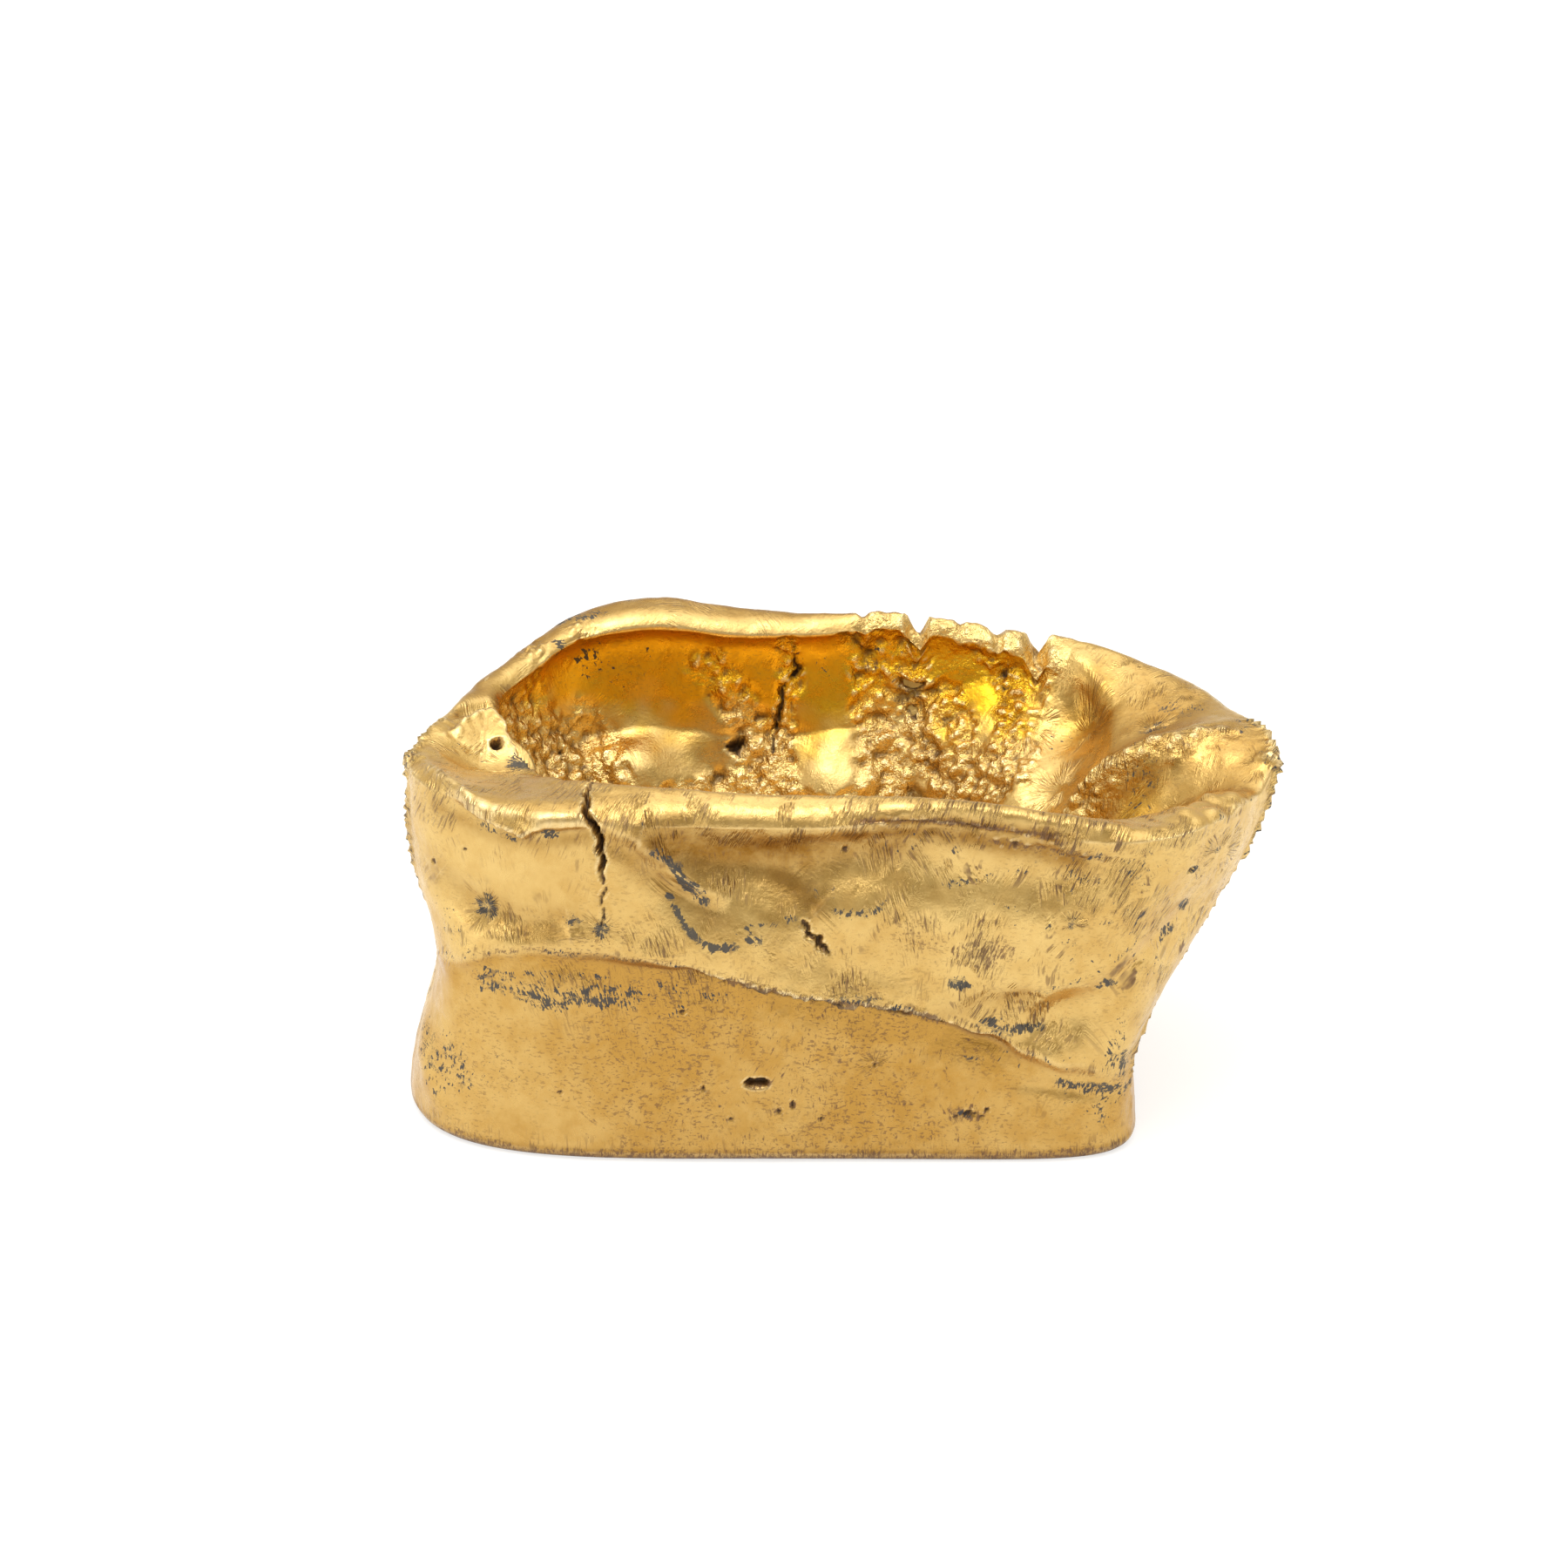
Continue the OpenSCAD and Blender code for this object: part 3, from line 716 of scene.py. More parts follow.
def front_patina(front):
    """Slate-grey patina, then brown tarnish."""
    for streak in (
            ([(-21.5, 65), (-18.5, 62), (-16.5, 58.5), (-12.5, 54)], 1.5, 0.95),
            ([(-19, 55.5), (-17, 51), (-14, 47.6), (-11, 45.8), (-7, 46.4)], 1.1, 0.9),
            ([(-54, 35.5), (-47, 35.2), (-40, 33.4), (-34, 34.6), (-26, 34)], 3.2, 0.74),
            ([(-54, 35), (-47, 34.6), (-40, 32.5), (-34, 33.8), (-26, 33)], 0.9, 0.86),
            ([(-46, 38), (-32, 37.6), (-22, 36.6), (-10, 34.2)], 1.7, 0.6),
            ([(-61, 38), (-55, 41)], 1.2, 0.5), ([(12, 52.2), (17, 52.6), (20, 54)], 1.3, 0.75),
            ([(32, 58), (39, 59), (48, 61.5)], 1.1, 0.6), ([(38, 29), (44, 27.2), (50, 28)], 1.1, 0.65),
            ([(48, 36), (57, 39), (66, 44)], 0.9, 0.55), ([(65.5, 47), (68, 51.5)], 0.7, 0.75),
            ([(54, 16), (60, 14.8), (67, 12.6)], 1.4, 0.85), ([(-54, 66.5), (-48, 65.5)], 1.1, 0.7),
            ([(-8, 49), (4, 51)], 0.9, 0.6), ([(50, 64.5), (58, 63)], 1, 0.6)):
        front.stain_line(*streak)
    for blotch in (
            (-53.5, 50, 2.8, 2.6, 0.95), (-37, 50.3, 2.6, 1.4, 0.7), (-31.6, 49, 1.9, 2.6, 1),
            (-3.5, 47.6, 2.2, 1.5, 0.8), (-60, 15, 4.5, 8, 0.6), (-52, 17, 5, 5, 0.45),
            (35, 38, 2.4, 1.5, 0.85), (55, 51, 1.2, 1.6, 0.75), (54.4, 46.6, 2.2, 1.2, 0.6),
            (50.3, 50, 1.4, 1.8, 0.55), (61.5, 50.3, 1.8, 1.2, 0.6), (-10, 12, 3, 2, 0.3),
            (-18, 31.5, 4, 1.8, 0.5), (0, 44, 3, 2, 0.3), (33, 58, 2.4, 1.2, 0.75), (39, 59, 2.6, 1, 0.7),
            (45, 60.7, 2.2, 0.9, 0.6), (62, 37, 2.6, 1.3, 0.95), (73.4, 43.4, 1.6, 1.8, 0.9),
            (76.5, 48, 1.4, 2.2, 0.8), (40, 29.8, 2.4, 0.9, 0.85), (46, 28, 3, 1.1, 0.9),
            (34, 38.6, 2.4, 1.6, 0.7), (59.5, 64, 1.6, 1.4, 0.8), (33.5, 64.4, 1.4, 0.9, 0.8),
            (66, 18.5, 1.6, 4, 0.85), (57, 15.6, 2.6, 1.3, 0.9), (62, 14.6, 3, 1.2, 0.8),
            (37, 21.5, 2.4, 0.9, 0.7), (78, 57, 1.1, 0.9, 0.9), (83, 58.7, 0.9, 0.9, 0.9),
            (65, 54, 1, 2.4, 0.5), (50, 63, 3, 1.2, 0.5), (56, 60, 5, 2, 0.5), (70, 60, 5, 2.5, 0.5),
            (60, 44, 6, 2, 0.45), (36, 10, 3, 1.4, 0.7), (68, 60, 7, 6, 0.45), (56, 57, 9, 6, 0.4),
            (40, 52, 8, 5, 0.3), (70, 40, 7, 8, 0.42), (50, 20, 12, 5, 0.45), (-60, 44, 6, 8, 0.4),
            (-20, 70, 12, 4, 0.35), (22, 66, 10, 4, 0.4), (-44, 35, 12, 3.2, 0.62), (-24, 35, 12, 3, 0.5),
            (16, 36, 6, 1.4, 0.75), (8, 36.5, 4, 1.2, 0.6), (58, 12, 10, 5, 0.45), (10, 56, 5, 2, 0.5),
            (-63, 15, 5, 10, 0.66), (-52, 16, 8, 6, 0.45), (64, 22, 3, 7, 0.6), (-41, 67.5, 2.2, 1.2, 0.95),
            (62, 8, 6, 5, 0.35), (12, 38, 3, 2, 0.4), (22, 33.5, 5, 1.2, 0.7)):
        front.stain(*blotch)
    for streak in (
            ([(-12, 39.4), (4, 35.2), (18, 33), (30, 29.8)], 0.8, 0.85), ([(20, 66), (24, 70)], 1.6, 0.5),
            ([(-12, 61), (-4, 59), (6, 60), (14, 63)], 3, 0.25), ([(-22, 22), (-14, 24)], 1.6, 0.3),
            ([(-30, 38.6), (-18, 38.2)], 0.8, 0.5), ([(-60, 0.6), (0, 0.6), (66, 0.8)], 2.6, 0.8)):
        front.stain_line(*streak, "brown")
    for blotch in (
            (39, 45, 8, 4.5, 0.75), (28, 49, 8, 5, 0.6), (14, 38, 6, 2, 0.6), (-30, 46, 9, 4, 0.5),
            (-25, 50, 5, 4, 0.35), (-16, 14, 10, 5, 0.25), (60, 20, 9, 6, 0.25), (36, 10, 5, 3, 0.85),
            (27, 13, 6, 2, 0.6)):
        front.stain(*blotch, "brown")


def shoulders(k):
    """Features of the brim and the two broad ends, placed from above by x and y."""
    m = k.top * smooth(30, 50, k.z)
    top = Area(k, m, k.x, k.y)
    # left: the turned flap with its steep edge over the well, and the slip behind it
    flap = [(-40.6, -20), (-43.7, -13), (-48, -3), (-52, 5), (-54.3, 7.5), (-56.6, 7), (-59.3, 3.5),
            (-61.3, -1)]
    top.step(flap, 2.9, 6, 3, edge=0.5, paint=0.6)
    k.push += m * bell(top.line(flap)[0], 1.6) * 1.1 * k.lumps(1.8, 69)
    top.ridge([(-62.5, 4), (-59.5, 9.5), (-55, 13), (-51.5, 10.5)], 1.6, -1.8)
    top.ridge([(-60, 6), (-53, 0), (-46.5, -7.5)], 5.5, -1.2)
    top.ridge([(-66, -8), (-58, -14), (-48, -22), (-40, -28)], 3.5, 0.8)
    top.pit(-52.9, -0.8, 1.05, 1.05, 2.4)
    top.pit(-63.5, 3.5, 0.55, 0.55, 1.2)
    # right: rough crest between the dimple and the valley, strokes, and the pinhole
    crest = [(87, 1), (82, 2.5), (77, 1.2), (73, 2.6), (69, 2), (66, 1.8), (62, 2.6), (57, 4.5)]
    top.ridge(crest, 2.6, 0.9)
    d, _, run = to_line(k.x, k.y, crest)
    rough = m * bell(d, 2.3)
    k.push += rough * 1.5 * k.lumps(2.4, 61)
    k.paint("coarse", rough)
    k.comb(m * 0.9 * bell(d, 5), run, d)
    top.pit(73.3, 12.5, 0.85, 0.85, 1.8)
    top.ridge([(60, 38), (64, 30), (66, 24)], 2, 0.7)
    for burst in (
            (73.3, 12.5, 6), (62, 26, 6), (80, 22, 6), (88, 4, 6), (56, 14, 7), (84, -14, 5), (80, -28, 5),
            (64, 2, 5), (-46, -7, 11), (-60, -10, 7), (-56, -24, 7), (-44, -34, 6), (50, 30, 6),
            (70, 32, 5), (92, -8, 5), (74, -20, 5)):
        top.fan(*burst, 0.85)
    # lumpy front lobe of the spout
    k.push += top.blot(82, -24, 9, 12) * 1.7 * k.lumps(4.2, 71)
    for blotch in (
            (-58, -2, 5, 5, 0.4), (-52, 6, 4, 4, 0.35), (-50, -20, 5, 4, 0.35), (-42, -33, 5, 3, 0.35),
            (73.3, 12.5, 2.6, 2.6, 0.8), (80, 15, 4, 3, 0.6), (77, 18, 3, 2, 0.5), (90, 3, 3, 6, 0.6),
            (66, 16, 4, 4, 0.35), (84, -30, 4, 4, 0.5), (88, -18, 4, 4, 0.45), (60, 6, 6, 5, 0.35),
            (54, 27, 5, 4, 0.4), (70, -2, 4, 4, 0.45)):
        top.stain(*blotch)
    Area(k, m * smooth(56, 60, k.z), k.x, k.y).stain(-48.3, -5.6, 3.4, 3, 1)
    top.stain_line(crest, 2, 0.4, "brown")
    # painted shade and painted amber reflection in the dimple, the valley and the small hollow of the left
    # shoulder, and painted shade on the right slope and the top of the spout
    for x0, y0, rx, ry, amber_reflection, deep in (
            (61, 28, 6, 6, 0.25, 0.7), (69, -4, 5, 4, 0.4, 0.8), (-42, -12, 4, 5, 0.9, 0),
            (74, 14, 16, 14, 0, 0.5), (86, -6, 12, 16, 0, 0.5)):
        w = top.blot(x0, y0, rx, ry)
        k.paint("amber_reflection", amber_reflection * w)
        k.paint("deep", deep * w)
        k.paint("shade", 0.35 * deep * w)


def back_brim(k):
    """The back of the brim: rolled at the left, thin and torn with two notches at the right."""
    m = k.back * k.shell * smooth(62, 68, k.climb) + k.back * k.top * smooth(60, 68, k.z)
    m = np.clip(m, 0, 1)
    # painted shade by the way the skin faces: what faces backwards is painted a darker, browner gold than
    # the inner lip, and more shaded to the left
    facing = k.normal[..., 1]
    k.paint("deep", 0.75 * m * smooth(-0.35, 0.25, facing) * smooth(64, 50, k.x))
    k.paint("brown", 0.5 * m * smooth(-0.2, 0.3, facing))
    k.paint("shade", 0.4 * m * smooth(-0.6, 0, facing) * smooth(30, 0, k.x))
    torn = m * smooth(12, 22, k.x) * smooth(64, 54, k.x)
    k.push += torn * 0.7 * k.lumps(2.3, 81)
    k.paint("coarse", torn * 0.8)
    lumps = m * (bell(np.hypot(k.x + 47, k.y - 33), 3) + bell(np.hypot(k.x + 38, k.y - 38), 2.6))
    k.push += lumps * 1.3 * k.lumps(1.6, 83)
    rim = Area(k, m, k.x, k.y)
    for blotch in (
            (-40, 42.5, 8, 2.6, 0.72), (-30, 46.5, 6, 2, 0.6), (-42, 35, 2.2, 1.4, 0.9),
            (-12, 46, 5, 2, 0.4), (22, 45, 6, 3, 0.45), (38, 44, 6, 3, 0.45)):
        rim.stain(*blotch)


def notches(k):
    """V-shaped tears that lower the back of the brim: a move straight down."""
    fall = np.zeros(k.x.shape)
    near_top = smooth(59, 71, k.z) * k.back
    for x0, half, deep in (
            (28.3, 2.6, 4), (51.8, 2.4, 4.6), (17.5, 1.6, 1), (44, 1.5, 1.3), (36, 1.2, 0.8)):
        lean = x0 + 0.08 * (k.z - BRIM_H) + 1.1 * noise(k.p, 2.4, 91)
        fall += deep * np.clip(1 - np.abs(k.x - lean) / half, 0, 1) ** 0.8
    return near_top * fall


def well_wall(k):
    """Inside of the back wall: smooth bulging panels between bands of rough, grainy casting."""
    m, x, z = k.inner * smooth(8, 18, k.y), k.x, k.z
    wall = Area(k, m, x, z)
    bands = (([(-51, 62), (-46, 55), (-40, 50), (-35, 45), (-33, 38)], 4.6, 0.9),
             ([(-38, 57), (-34, 52), (-30, 46)], 3, 0.6),
             ([(-12, 66), (-9, 60), (-6, 55), (-3, 49), (0, 43)], 4.8, 0.9),
             ([(2, 70), (4, 64), (2, 58), (1, 50), (0, 44)], 2.6, 1),
             ([(17, 72), (20, 63), (20, 54), (22, 46), (26, 40)], 5, 0.9),
             ([(27, 72), (27, 64), (28, 57), (31, 50), (36, 42)], 4, 1),
             ([(42, 70), (47, 62), (45, 54), (40, 46), (37, 40)], 3.4, 0.9),
             ([(34, 60), (37, 56), (39, 49)], 4.2, 0.85),
             ([(52, 66), (50, 60), (49, 54)], 3.2, 0.6),
             ([(-30, 40), (-12, 42), (6, 40), (24, 40), (40, 39)], 3.6, 0.8),
             ([(-52, 40), (-36, 30), (0, 24), (36, 28), (50, 36)], 6, 0.7))
    rough = np.zeros(x.shape)
    for line, reach, strength in bands:
        edge = reach * (1 + 0.35 * noise(k.p, 4, 95))
        rough = np.maximum(rough, strength * smooth(1.25, 0.6, wall.line(line)[0] / edge))
    rough *= m
    k.push += m * 0.8 * noise(k.p, 6.5, 94) * smooth(60, 50, z)
    k.push += rough * (1.5 * k.lumps(3.4, 97) + 1.6 * k.lumps(1.9, 99) - 0.5)
    k.push += rough * (0.7 * noise(k.p, 2.6, 98) + 0.45 * noise(k.p, 1.2, 96))
    k.paint("coarse", rough)
    low = grains(k.p, 3.4, 97)
    k.paint("brown", 0.75 * rough * smooth(0.4, 0.8, low))
    # black between the grains is painted shade
    k.paint("black_shade", rough * 0.7 * smooth(0.72, 0.95, low))
    split = [(3, 71.5), (4.4, 68), (4, 65.5), (5.2, 64), (2, 62), (1.4, 57), (0.2, 52), (-0.6, 47)]
    wall.crack(split, 0.32, 2, ragged=1.2)
    for hole in (
            (27.2, 62, 1.6, 1.1, 3.4), (27.3, 57, 1, 0.8, 2.2), (-7.5, 49.5, 1.1, 1.3, 2.2),
            (17.7, 40.4, 1.4, 0.8, 2), (37, 40.2, 1.5, 1, 2.2), (45.6, 65, 0.5, 0.5, 0.8),
            (-42, 51, 0.6, 0.7, 1), (45.2, 62.8, 0.5, 0.4, 0.8)):
        wall.pit(*hole, ragged=0.7, bead=0.3)
    # painted amber reflection of gold in gold, under the overhanging brim, from the brim down to the
    # bulging panels
    down = np.interp(x, (-56, -44, -30, -14, 0, 14, 26, 36, 46, 56),
                     (65, 60, 53, 55, 52, 54, 57, 54, 55, 62))
    high = z - down + 5 * noise(k.p, 8, 93) + 3 * noise(k.p, 2.6, 92)
    k.paint("amber_reflection", m * smooth(-6, 6, high) * smooth(58, 50, x))
    wall.stain(-20, 66, 30, 6, 0.25)
    wall.stain(10, 66, 10, 5, 0.3)
    wall.fan(46, 63, 6, 0.6)


def hidden_sides(k):
    """Back and ends, which the same casting and handling have creased like the front."""
    m = k.shell * smooth(10, 20, k.y)
    back = Area(k, m, k.x, k.climb)
    for crease in (
            ([(-58, 26), (-40, 34), (-18, 36), (6, 30), (30, 32), (58, 22)], 2, 1.4, 4.6),
            ([(-56, 22), (-40, 30.5), (-18, 32.5), (6, 26.5), (30, 28), (56, 19)], 2.2, -0.9, 3),
            ([(-46, 60), (-34, 52), (-22, 50), (-10, 55)], 2.6, 1.1, 4),
            ([(-6, 62), (4, 54), (18, 50), (32, 56)], 2.4, -1.2, 4.5),
            ([(20, 44), (34, 47), (50, 56), (64, 64)], 2, 1.2, 4),
            ([(34, 40), (48, 42), (62, 50)], 2.4, -0.8, 3),
            ([(-60, 44), (-50, 46), (-40, 42)], 2.2, 0.9, 3.4)):
        back.ridge(*crease)
    back.crack([(-14, 60), (-13, 57), (-14.5, 54), (-12.5, 51)], 0.45, 1.6, ragged=0.6)
    for hole in (
            (18, 15, 1.8, 0.9, 1.8), (-30, 12, 0.8, 0.8, 1.2), (44, 34, 0.7, 0.7, 1.2),
            (-48, 52, 0.6, 0.6, 1), (4, 44, 0.9, 0.5, 0.9), (-20, 22, 0.6, 0.9, 0.8)):
        back.pit(*hole)
    for burst in ((-30, 44, 7), (16, 40, 7), (44, 50, 6), (-8, 18, 5), (36, 14, 5), (-50, 16, 6)):
        back.fan(*burst, 0.8)
    for blotch in (
            (-42, 31, 9, 1.8, 0.8), (-12, 30, 8, 1.6, 0.7), (30, 27, 9, 1.6, 0.6), (52, 12, 6, 6, 0.5),
            (-26, 48, 3, 2, 0.8), (22, 48, 4, 2, 0.8), (-56, 12, 4, 6, 0.5), (48, 54, 4, 2, 0.6),
            (0, 58, 3, 3, 0.5)):
        back.stain(*blotch)
    k.comb(m * 0.5 * smooth(7, 1, k.climb), k.x, k.climb)
    # end panels, folded in like gussets, placed by depth and height
    for mask, creases in (
            (k.shell * smooth(40, 60, k.x) * smooth(-30, -22, k.y), (
                ([(-24, 6), (-6, 30), (8, 48), (12, 68)], 2, -1.6, 3.4),
                ([(30, 4), (20, 26), (10, 46)], 2.2, -1.2, 3.4),
                ([(-14, 40), (-2, 50), (4, 62)], 2, 1, 3),
                ([(16, 12), (26, 30), (30, 52)], 2.6, 1, 4))),
            (k.shell * smooth(-40, -58, k.x) * smooth(-26, -18, k.y), (
                ([(-14, 10), (4, 32), (12, 50), (10, 66)], 2, -1.6, 3.4),
                ([(32, 8), (22, 30), (14, 48)], 2.2, -1.2, 3.4),
                ([(-8, 44), (2, 54), (6, 66)], 2, 1, 3),
                ([(20, 14), (28, 34), (26, 56)], 2.6, 0.9, 4)))):
        end = Area(k, mask, k.y, k.climb)
        for crease in creases:
            end.ridge(*crease)
        for blotch in ((0, 34, 3, 5, 0.7), (12, 14, 6, 3, 0.5), (24, 40, 3, 6, 0.4)):
            end.stain(*blotch)
        for burst in ((4, 40, 8), (18, 20, 7), (24, 52, 7)):
            end.fan(*burst, 0.8)


def cast_surface(k):
    """The slight unevenness of the whole casting, from broad waves to fine grain."""
    live = smooth(0.2, 3, k.climb) * k.shell + k.inner
    k.push += live * (0.40 * noise(k.p, 13, 101) + 0.16 * noise(k.p, 5, 102)
                      + 0.06 * noise(k.p, 2.1, 103) + 0.03 * noise(k.p, 1, 104))
    k.push += k.top * smooth(20, 60, np.abs(k.x)) * 0.14 * noise(k.p, 3.2, 105)
    floor = k.inner * smooth(34, 18, k.z)
    k.push += floor * (0.9 * noise(k.p, 7, 106) + 0.5 * k.lumps(4.5, 107))
    k.paint("coarse", 0.35 * floor)


def part_striations(k):
    """Striations fade out on the line where two patches of them meet."""
    jump = np.zeros(k.x.shape)
    for axis in (0, 1):
        for way in (1, -1):
            jump = np.maximum(jump, np.abs(k.hair - np.roll(k.hair, way, axis=axis)).max(axis=2))
    k.hair_weight = k.hair_weight * smooth(2.4, 1.2, jump)


def finished(k):
    """Skin points in millimetres with every detail pushed in along the smooth normals."""
    for detail in (
            cast_surface, hidden_sides, seams, front_wall, shoulders, back_brim, well_wall,
            part_striations):
        detail(k)
    out = k.p + k.push[..., None] * k.normal
    out[..., 2] += k.lift - notches(k)
    out[..., 2] = np.maximum(out[..., 2], 0)
    return out


def vessel_mesh():
    k = Skin(*FINE_SKIN)
    # the CAD model stands with its origin under the middle of its own outline
    low, high = (k.p.reshape(-1, 3).min(axis=0), k.p.reshape(-1, 3).max(axis=0))
    middle = (np.array(cad_box[0]) + np.array(cad_box[1])) / 2
    shift = np.array([middle[0] - (low[0] + high[0]) / 2 * MM, middle[1] - (low[1] + high[1]) / 2 * MM, 0])
    p = finished(k)
    count, columns, _ = p.shape
    floor_middle = p[-1].mean(axis=0)
    points = np.vstack([p.reshape(-1, 3), [[0, 0, 0]], floor_middle[None]]) * MM + shift
    under, over = len(points) - 2, len(points) - 1
    j = np.arange(columns)
    nxt = (j + 1) % columns
    r = np.arange(count - 1)[:, None] * columns
    quads = np.stack([r + j, r + nxt, r + columns + nxt, r + columns + j], axis=2).reshape(-1, 4)
    last = (count - 1) * columns
    fans = np.vstack([np.stack([np.full(columns, under), nxt, j], axis=1),
                      np.stack([np.full(columns, over), last + j, last + nxt], axis=1)])
    mesh = bpy.data.meshes.new("vessel_skin")
    mesh.from_pydata(points.tolist(), [], quads.tolist() + fans.tolist())
    mesh.validate()
    mesh.polygons.foreach_set("use_smooth", np.ones(len(mesh.polygons), bool))
    for name in (*PAINTED, "hair_weight"):
        layer = mesh.attributes.new(name, "FLOAT", "POINT")
        layer.data.foreach_set("value", np.concatenate([getattr(k, name).ravel(), [0, 0]]))
    layer = mesh.attributes.new("hair", "FLOAT_VECTOR", "POINT")
    layer.data.foreach_set("vector", np.vstack([k.hair.reshape(-1, 3), np.zeros((2, 3))]).ravel())
    return mesh, shift


# ---------------------------------------------------------------- material
GOLD_MID = (0.775, 0.545, 0.205, 1)
GOLD_DEEP_TONE_AND_SHADE = (0.50, 0.275, 0.060, 1)
GOLD_PAINTED_HIGHLIGHT = (0.88, 0.68, 0.35, 1)
GOLD_SHADE = (0.25, 0.106, 0.010, 1)
GOLD_AMBER_REFLECTION = (0.76, 0.415, 0.013, 1)
PATINA_GREY = (0.040, 0.047, 0.056, 1)
PATINA_AND_SHADE_BROWN = (0.17, 0.088, 0.045, 1)
HOLLOW_SHADE_BLACK = (0.04, 0.02, 0.009, 1)


class Nodes:
    """Short names for the node calls that the material makes many times."""

    def __init__(self, tree):
        self.tree = tree

    def add(self, kind, **settings):
        node = self.tree.nodes.new(kind)
        for name, value in settings.items():
            setattr(node, name, value)
        return node

    def put(self, socket, value):
        if isinstance(value, bpy.types.NodeSocket):
            self.tree.links.new(value, socket)
        else:
            socket.default_value = value

    def math(self, operation, *values, clamp=False):
        node = self.add("ShaderNodeMath", operation=operation, use_clamp=clamp)
        for socket, value in zip(node.inputs, values):
            self.put(socket, value)
        return node.outputs[0]

    def times(self, a, b):
        return self.math("MULTIPLY", a, b)

    def less(self, a, b):
        return self.math("SUBTRACT", a, b)

    def most(self, a, b):
        return self.math("MAXIMUM", a, b)

    def ramp(self, value, low, high, to_low=0.0, to_high=1.0):
        node = self.add("ShaderNodeMapRange", interpolation_type="SMOOTHSTEP")
        for socket, v in zip(node.inputs, (value, low, high, to_low, to_high)):
            self.put(socket, v)
        return node.outputs[0]

    def mix(self, share, a, b):
        node = self.add("ShaderNodeMix", data_type="RGBA")
        for socket, v in ((node.inputs[0], share), (node.inputs[6], a), (node.inputs[7], b)):
            self.put(socket, v)
        return node.outputs[2]

    def scaled(self, vector, scale):
        node = self.add("ShaderNodeVectorMath", operation="MULTIPLY")
        self.put(node.inputs[0], vector)
        node.inputs[1].default_value = scale
        return node.outputs[0]

    def noise(self, vector, scale, detail, rough=0.5, distortion=0.0):
        node = self.add("ShaderNodeTexNoise")
        for name, v in (
                ("Vector", vector), ("Scale", scale), ("Detail", detail), ("Roughness", rough),
                ("Distortion", distortion)):
            self.put(node.inputs[name], v)
        return node.outputs["Fac"]

    def attribute(self, name):
        node = self.add("ShaderNodeAttribute", attribute_type="GEOMETRY", attribute_name=name)
        return node.outputs["Vector"] if name == "hair" else node.outputs["Fac"]

    def bump(self, height, distance, strength, normal=None):
        node = self.add("ShaderNodeBump")
        self.put(node.inputs["Height"], height)
        node.inputs["Distance"].default_value = distance
        self.put(node.inputs["Strength"], strength)
        if normal is not None:
            self.put(node.inputs["Normal"], normal)
        return node.outputs["Normal"]


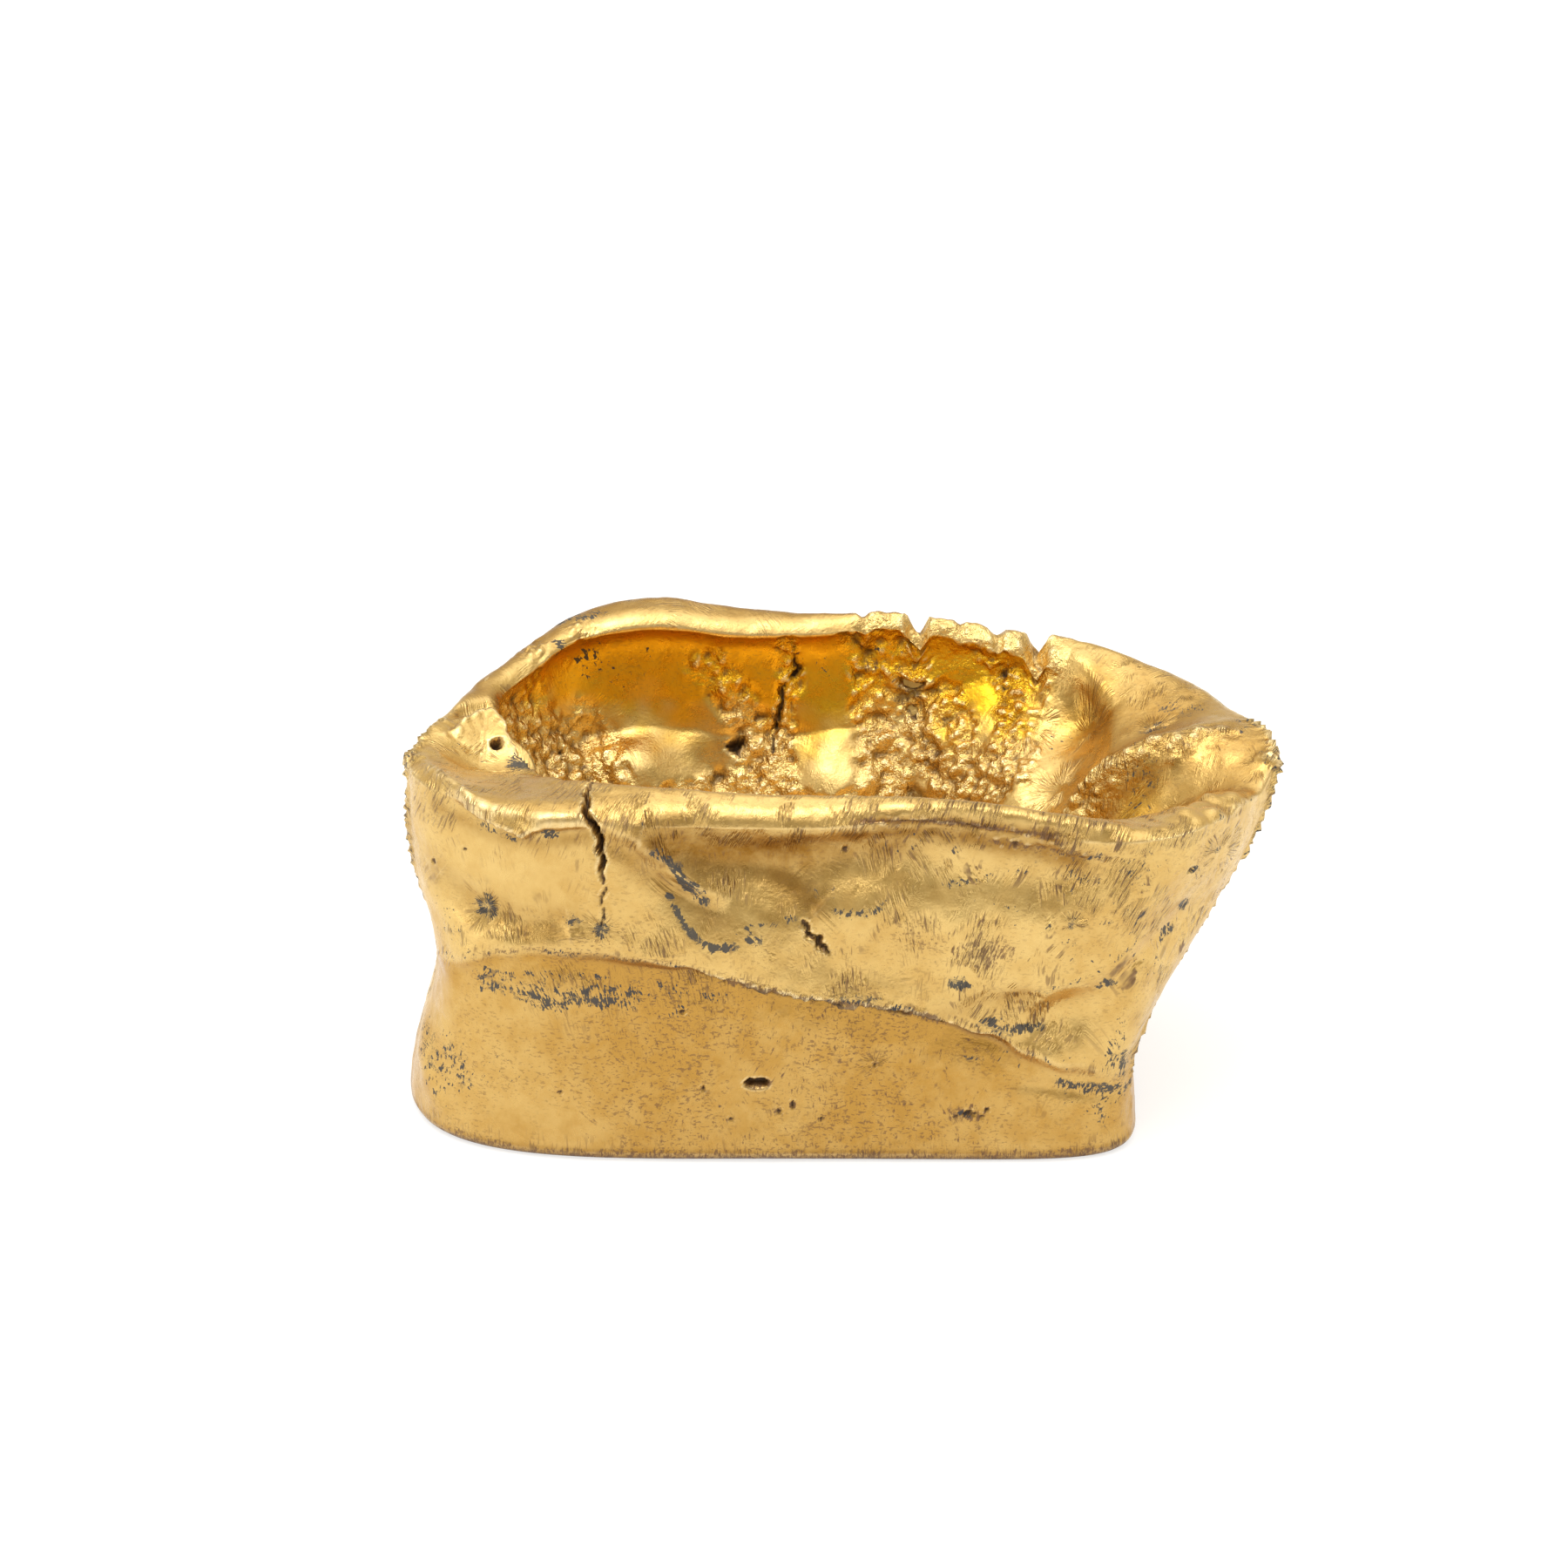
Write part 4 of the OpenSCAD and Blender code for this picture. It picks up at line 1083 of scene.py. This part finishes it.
def gilt_bronze():
    """Gilded cast bronze: three tones of gold, the darkest also painted shade and the palest a painted
    highlight, painted amber reflection, cast striations, grain, and patina in the hollows.
    """
    material = bpy.data.materials.new("gilt_bronze")
    material.use_nodes = True
    n = Nodes(material.node_tree)
    shader = material.node_tree.nodes["Principled BSDF"]
    place = n.scaled(n.add("ShaderNodeTexCoord").outputs["Object"], [1 / MM] * 3)
    hair, hair_weight = n.attribute("hair"), n.attribute("hair_weight")
    patina, brown, coarse = n.attribute("patina"), n.attribute("brown"), n.attribute("coarse")
    amber_reflection = n.attribute("amber_reflection")

    # striations, a little under a millimetre apart and several long
    strands = n.noise(n.scaled(hair, (2.0, 0.28, 0)), 1.0, 1.5, 0.5, 0.35)
    fine_strands = n.noise(n.scaled(hair, (4.2, 0.6, 0)), 1.0, 1.0, 0.5, 0.2)
    patchy = n.ramp(n.noise(place, 0.17, 3.0, 0.6), 0.40, 0.58)
    streak_share = n.times(hair_weight, patchy)
    groove = n.times(n.ramp(strands, 0.54, 0.63), streak_share)

    # gold
    broad = n.noise(place, 0.035, 3.0, 0.6)
    cloud = n.noise(place, 0.22, 4.0, 0.65)
    point = n.add("ShaderNodeNewGeometry").outputs["Pointiness"]
    raised = n.ramp(point, 0.505, 0.56)
    sunk = n.ramp(point, 0.49, 0.43)
    tone = n.math("ADD", n.ramp(broad, 0.35, 0.68, 0, 0.25), n.ramp(cloud, 0.35, 0.7, 0, 0.25))
    # the deep field darkens the gold as painted shade, over the random tone of the two noises
    tone = n.math("ADD", tone, n.times(n.attribute("deep"), 0.8), clamp=True)
    gold = n.mix(tone, GOLD_MID, GOLD_DEEP_TONE_AND_SHADE)
    shade = n.times(n.attribute("shade"), n.ramp(cloud, 0.3, 0.6, 0.7, 1.0))
    gold = n.mix(n.times(shade, 0.95), gold, GOLD_SHADE)
    # painted highlight: paler gold on the crests, found by their pointiness, most on rough casting
    gold = n.mix(n.times(raised, n.ramp(coarse, 0, 1, 0.65, 0.95)), gold, GOLD_PAINTED_HIGHLIGHT)
    # painted amber reflection, weaker on the crests
    gold = n.mix(n.times(amber_reflection, n.ramp(raised, 0, 1, 0.95, 0.3)), gold, GOLD_AMBER_REFLECTION)

    # patina lies in short flecks that follow the striations
    fleck = n.noise(n.scaled(hair, (2.4, 0.65, 0)), 1.0, 2.0, 0.6, 0.3)
    blot = n.noise(place, 0.7, 4.0, 0.7)
    worn = n.math("ADD", n.times(fleck, 0.55), n.times(blot, 0.55))
    loose = n.ramp(n.noise(place, 0.09, 2.0), 0.45, 0.7, 0.80, 0.74)
    grey_edge = n.less(loose, n.times(patina, 0.31))
    grey = n.ramp(n.less(worn, grey_edge), -0.015, 0.02)
    speck = n.noise(n.scaled(place, (1.1, 1.1, 2.2)), 1.0, 2.0, 0.6)
    speck_region = n.noise(place, 0.075, 2.0)
    specks = n.times(n.ramp(speck, 0.565, 0.625), n.ramp(speck_region, 0.34, 0.54))
    specks = n.times(specks, n.ramp(brown, 0.0, 0.6))
    brown_edge = n.less(0.86, n.times(brown, 0.42))
    umber = n.ramp(n.less(worn, brown_edge), -0.04, 0.10)
    umber = n.most(umber, groove)
    umber = n.most(umber, n.times(sunk, 0.75))
    umber = n.most(umber, n.times(specks, 0.7))
    # brown: patina flecks, the striations' grooves, specks and the sunken places; where the brown field was
    # laid under overhangs, on back-facing faces and along the foot it is painted shade too
    stain = n.mix(n.times(umber, 0.85), gold, PATINA_AND_SHADE_BROWN)
    stain = n.mix(n.times(grey, 0.9), stain, PATINA_GREY)
    # painted shade: black in holes, cracks, the crevice and between grains, and at the foot's bottom edge
    black_shade = n.attribute("black_shade")
    stain = n.mix(black_shade, stain, HOLLOW_SHADE_BLACK)
    n.put(shader.inputs["Base Color"], stain)

    dull = n.most(n.most(grey, black_shade), n.times(umber, 0.6))
    n.put(shader.inputs["Metallic"], n.ramp(dull, 0.0, 1.0, 1.0, 0.45))
    satin = n.ramp(n.noise(place, 0.3, 3.0), 0.3, 0.7, 0.24, 0.38)
    satin = n.less(satin, n.times(coarse, 0.08))
    n.put(shader.inputs["Roughness"], n.math("ADD", satin, n.times(dull, 0.25), clamp=True))

    grain = n.noise(place, 1.6, 4.0, 0.6)
    normal = n.bump(grain, 0.00022, 0.35)
    normal = n.bump(n.noise(place, 0.9, 3.0, 0.6), 0.0012, n.times(coarse, 0.6), normal)
    normal = n.bump(n.math("ADD", strands, n.times(fine_strands, 0.5)), 0.0012,
                    n.times(streak_share, 0.8), normal)
    n.put(shader.inputs["Normal"], normal)
    return material


def plain(name, colour, rough):
    material = bpy.data.materials.new(name)
    material.use_nodes = True
    shader = material.node_tree.nodes["Principled BSDF"]
    shader.inputs["Base Color"].default_value = colour
    shader.inputs["Roughness"].default_value = rough
    return material


# ---------------------------------------------------------------- pieces
mesh, design_shift = vessel_mesh()
vessel = bpy.data.objects.new("vessel_skin", mesh)
bpy.context.scene.collection.objects.link(vessel)
mesh.materials.append(gilt_bronze())
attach(vessel, "root")
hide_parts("vessel")

# ---------------------------------------------------------------- studio
bpy.ops.mesh.primitive_plane_add(size=8)
floor = bpy.context.object
floor.name = "studio_floor"
table = plain("pale_floor", (0.4, 0.4, 0.4, 1), 0.9)
sheen = table.node_tree.nodes["Principled BSDF"].inputs
sheen["Emission Color"].default_value = (1, 1, 1, 1)
sheen["Emission Strength"].default_value = 0.7
floor.data.materials.append(table)

world = bpy.data.worlds.new("studio")
bpy.context.scene.world = world
world.use_nodes = True
n = Nodes(world.node_tree)
backdrop = world.node_tree.nodes["Background"]
way = n.add("ShaderNodeSeparateXYZ")
n.put(way.inputs[0], n.add("ShaderNodeTexCoord").outputs["Generated"])
# a bright horizon, a darker belt that is deepest at the front, and a bright ceiling
belt = n.ramp(way.outputs["Y"], -0.5, 0.5, 0.44, 0.78)
to_belt = n.ramp(way.outputs["Z"], 0.08, 0.28)
to_ceiling = n.ramp(way.outputs["Z"], 0.55, 0.85)
glow = n.math("ADD", 0.95, n.times(to_belt, n.less(belt, 0.95)))
glow = n.math("ADD", glow, n.times(to_ceiling, n.less(1.7, glow)))
n.put(backdrop.inputs["Strength"], glow)
warm = n.times(to_belt, n.less(1.0, to_ceiling))
n.put(backdrop.inputs["Color"], n.mix(warm, (1, 1, 1, 1), (1, 0.89, 0.66, 1)))


def softbox(name, place, aim, size, glow):
    """A square light, given by the side's length and by how bright its face looks."""
    light = bpy.data.lights.new(name, "AREA")
    light.size = size
    light.energy = glow * math.pi * size * size
    lamp = bpy.data.objects.new(name, light)
    lamp.location = place
    lamp.rotation_euler = (Vector(aim) - Vector(place)).to_track_quat("-Z", "Y").to_euler()
    bpy.context.scene.collection.objects.link(lamp)


MIDDLE = (0, 0, 0.05)
softbox("top_light", (-0.2, -0.3, 1.1), MIDDLE, 0.55, 3.5)
softbox("left_light", (-1.2, -0.5, 0.4), MIDDLE, 0.7, 1.3)

# ---------------------------------------------------------------- camera
ELEVATION = math.radians(24)
DISTANCE = 1.0
AIM = (0.002, 0.0, 0.0588)
SENSOR, LENS = 36, 120             # millimetres
look_at = Vector(AIM) + Vector(design_shift)
back_off = Vector((0, -math.cos(ELEVATION), math.sin(ELEVATION)))
lens = bpy.data.cameras.new("camera")
lens.sensor_width = SENSOR
lens.lens = LENS
camera = bpy.data.objects.new("camera", lens)
camera.location = look_at + DISTANCE * back_off
camera.rotation_euler = (-back_off).to_track_quat("-Z", "Y").to_euler()
bpy.context.scene.collection.objects.link(camera)
bpy.context.scene.camera = camera
bpy.context.scene.view_settings.view_transform = "Standard"
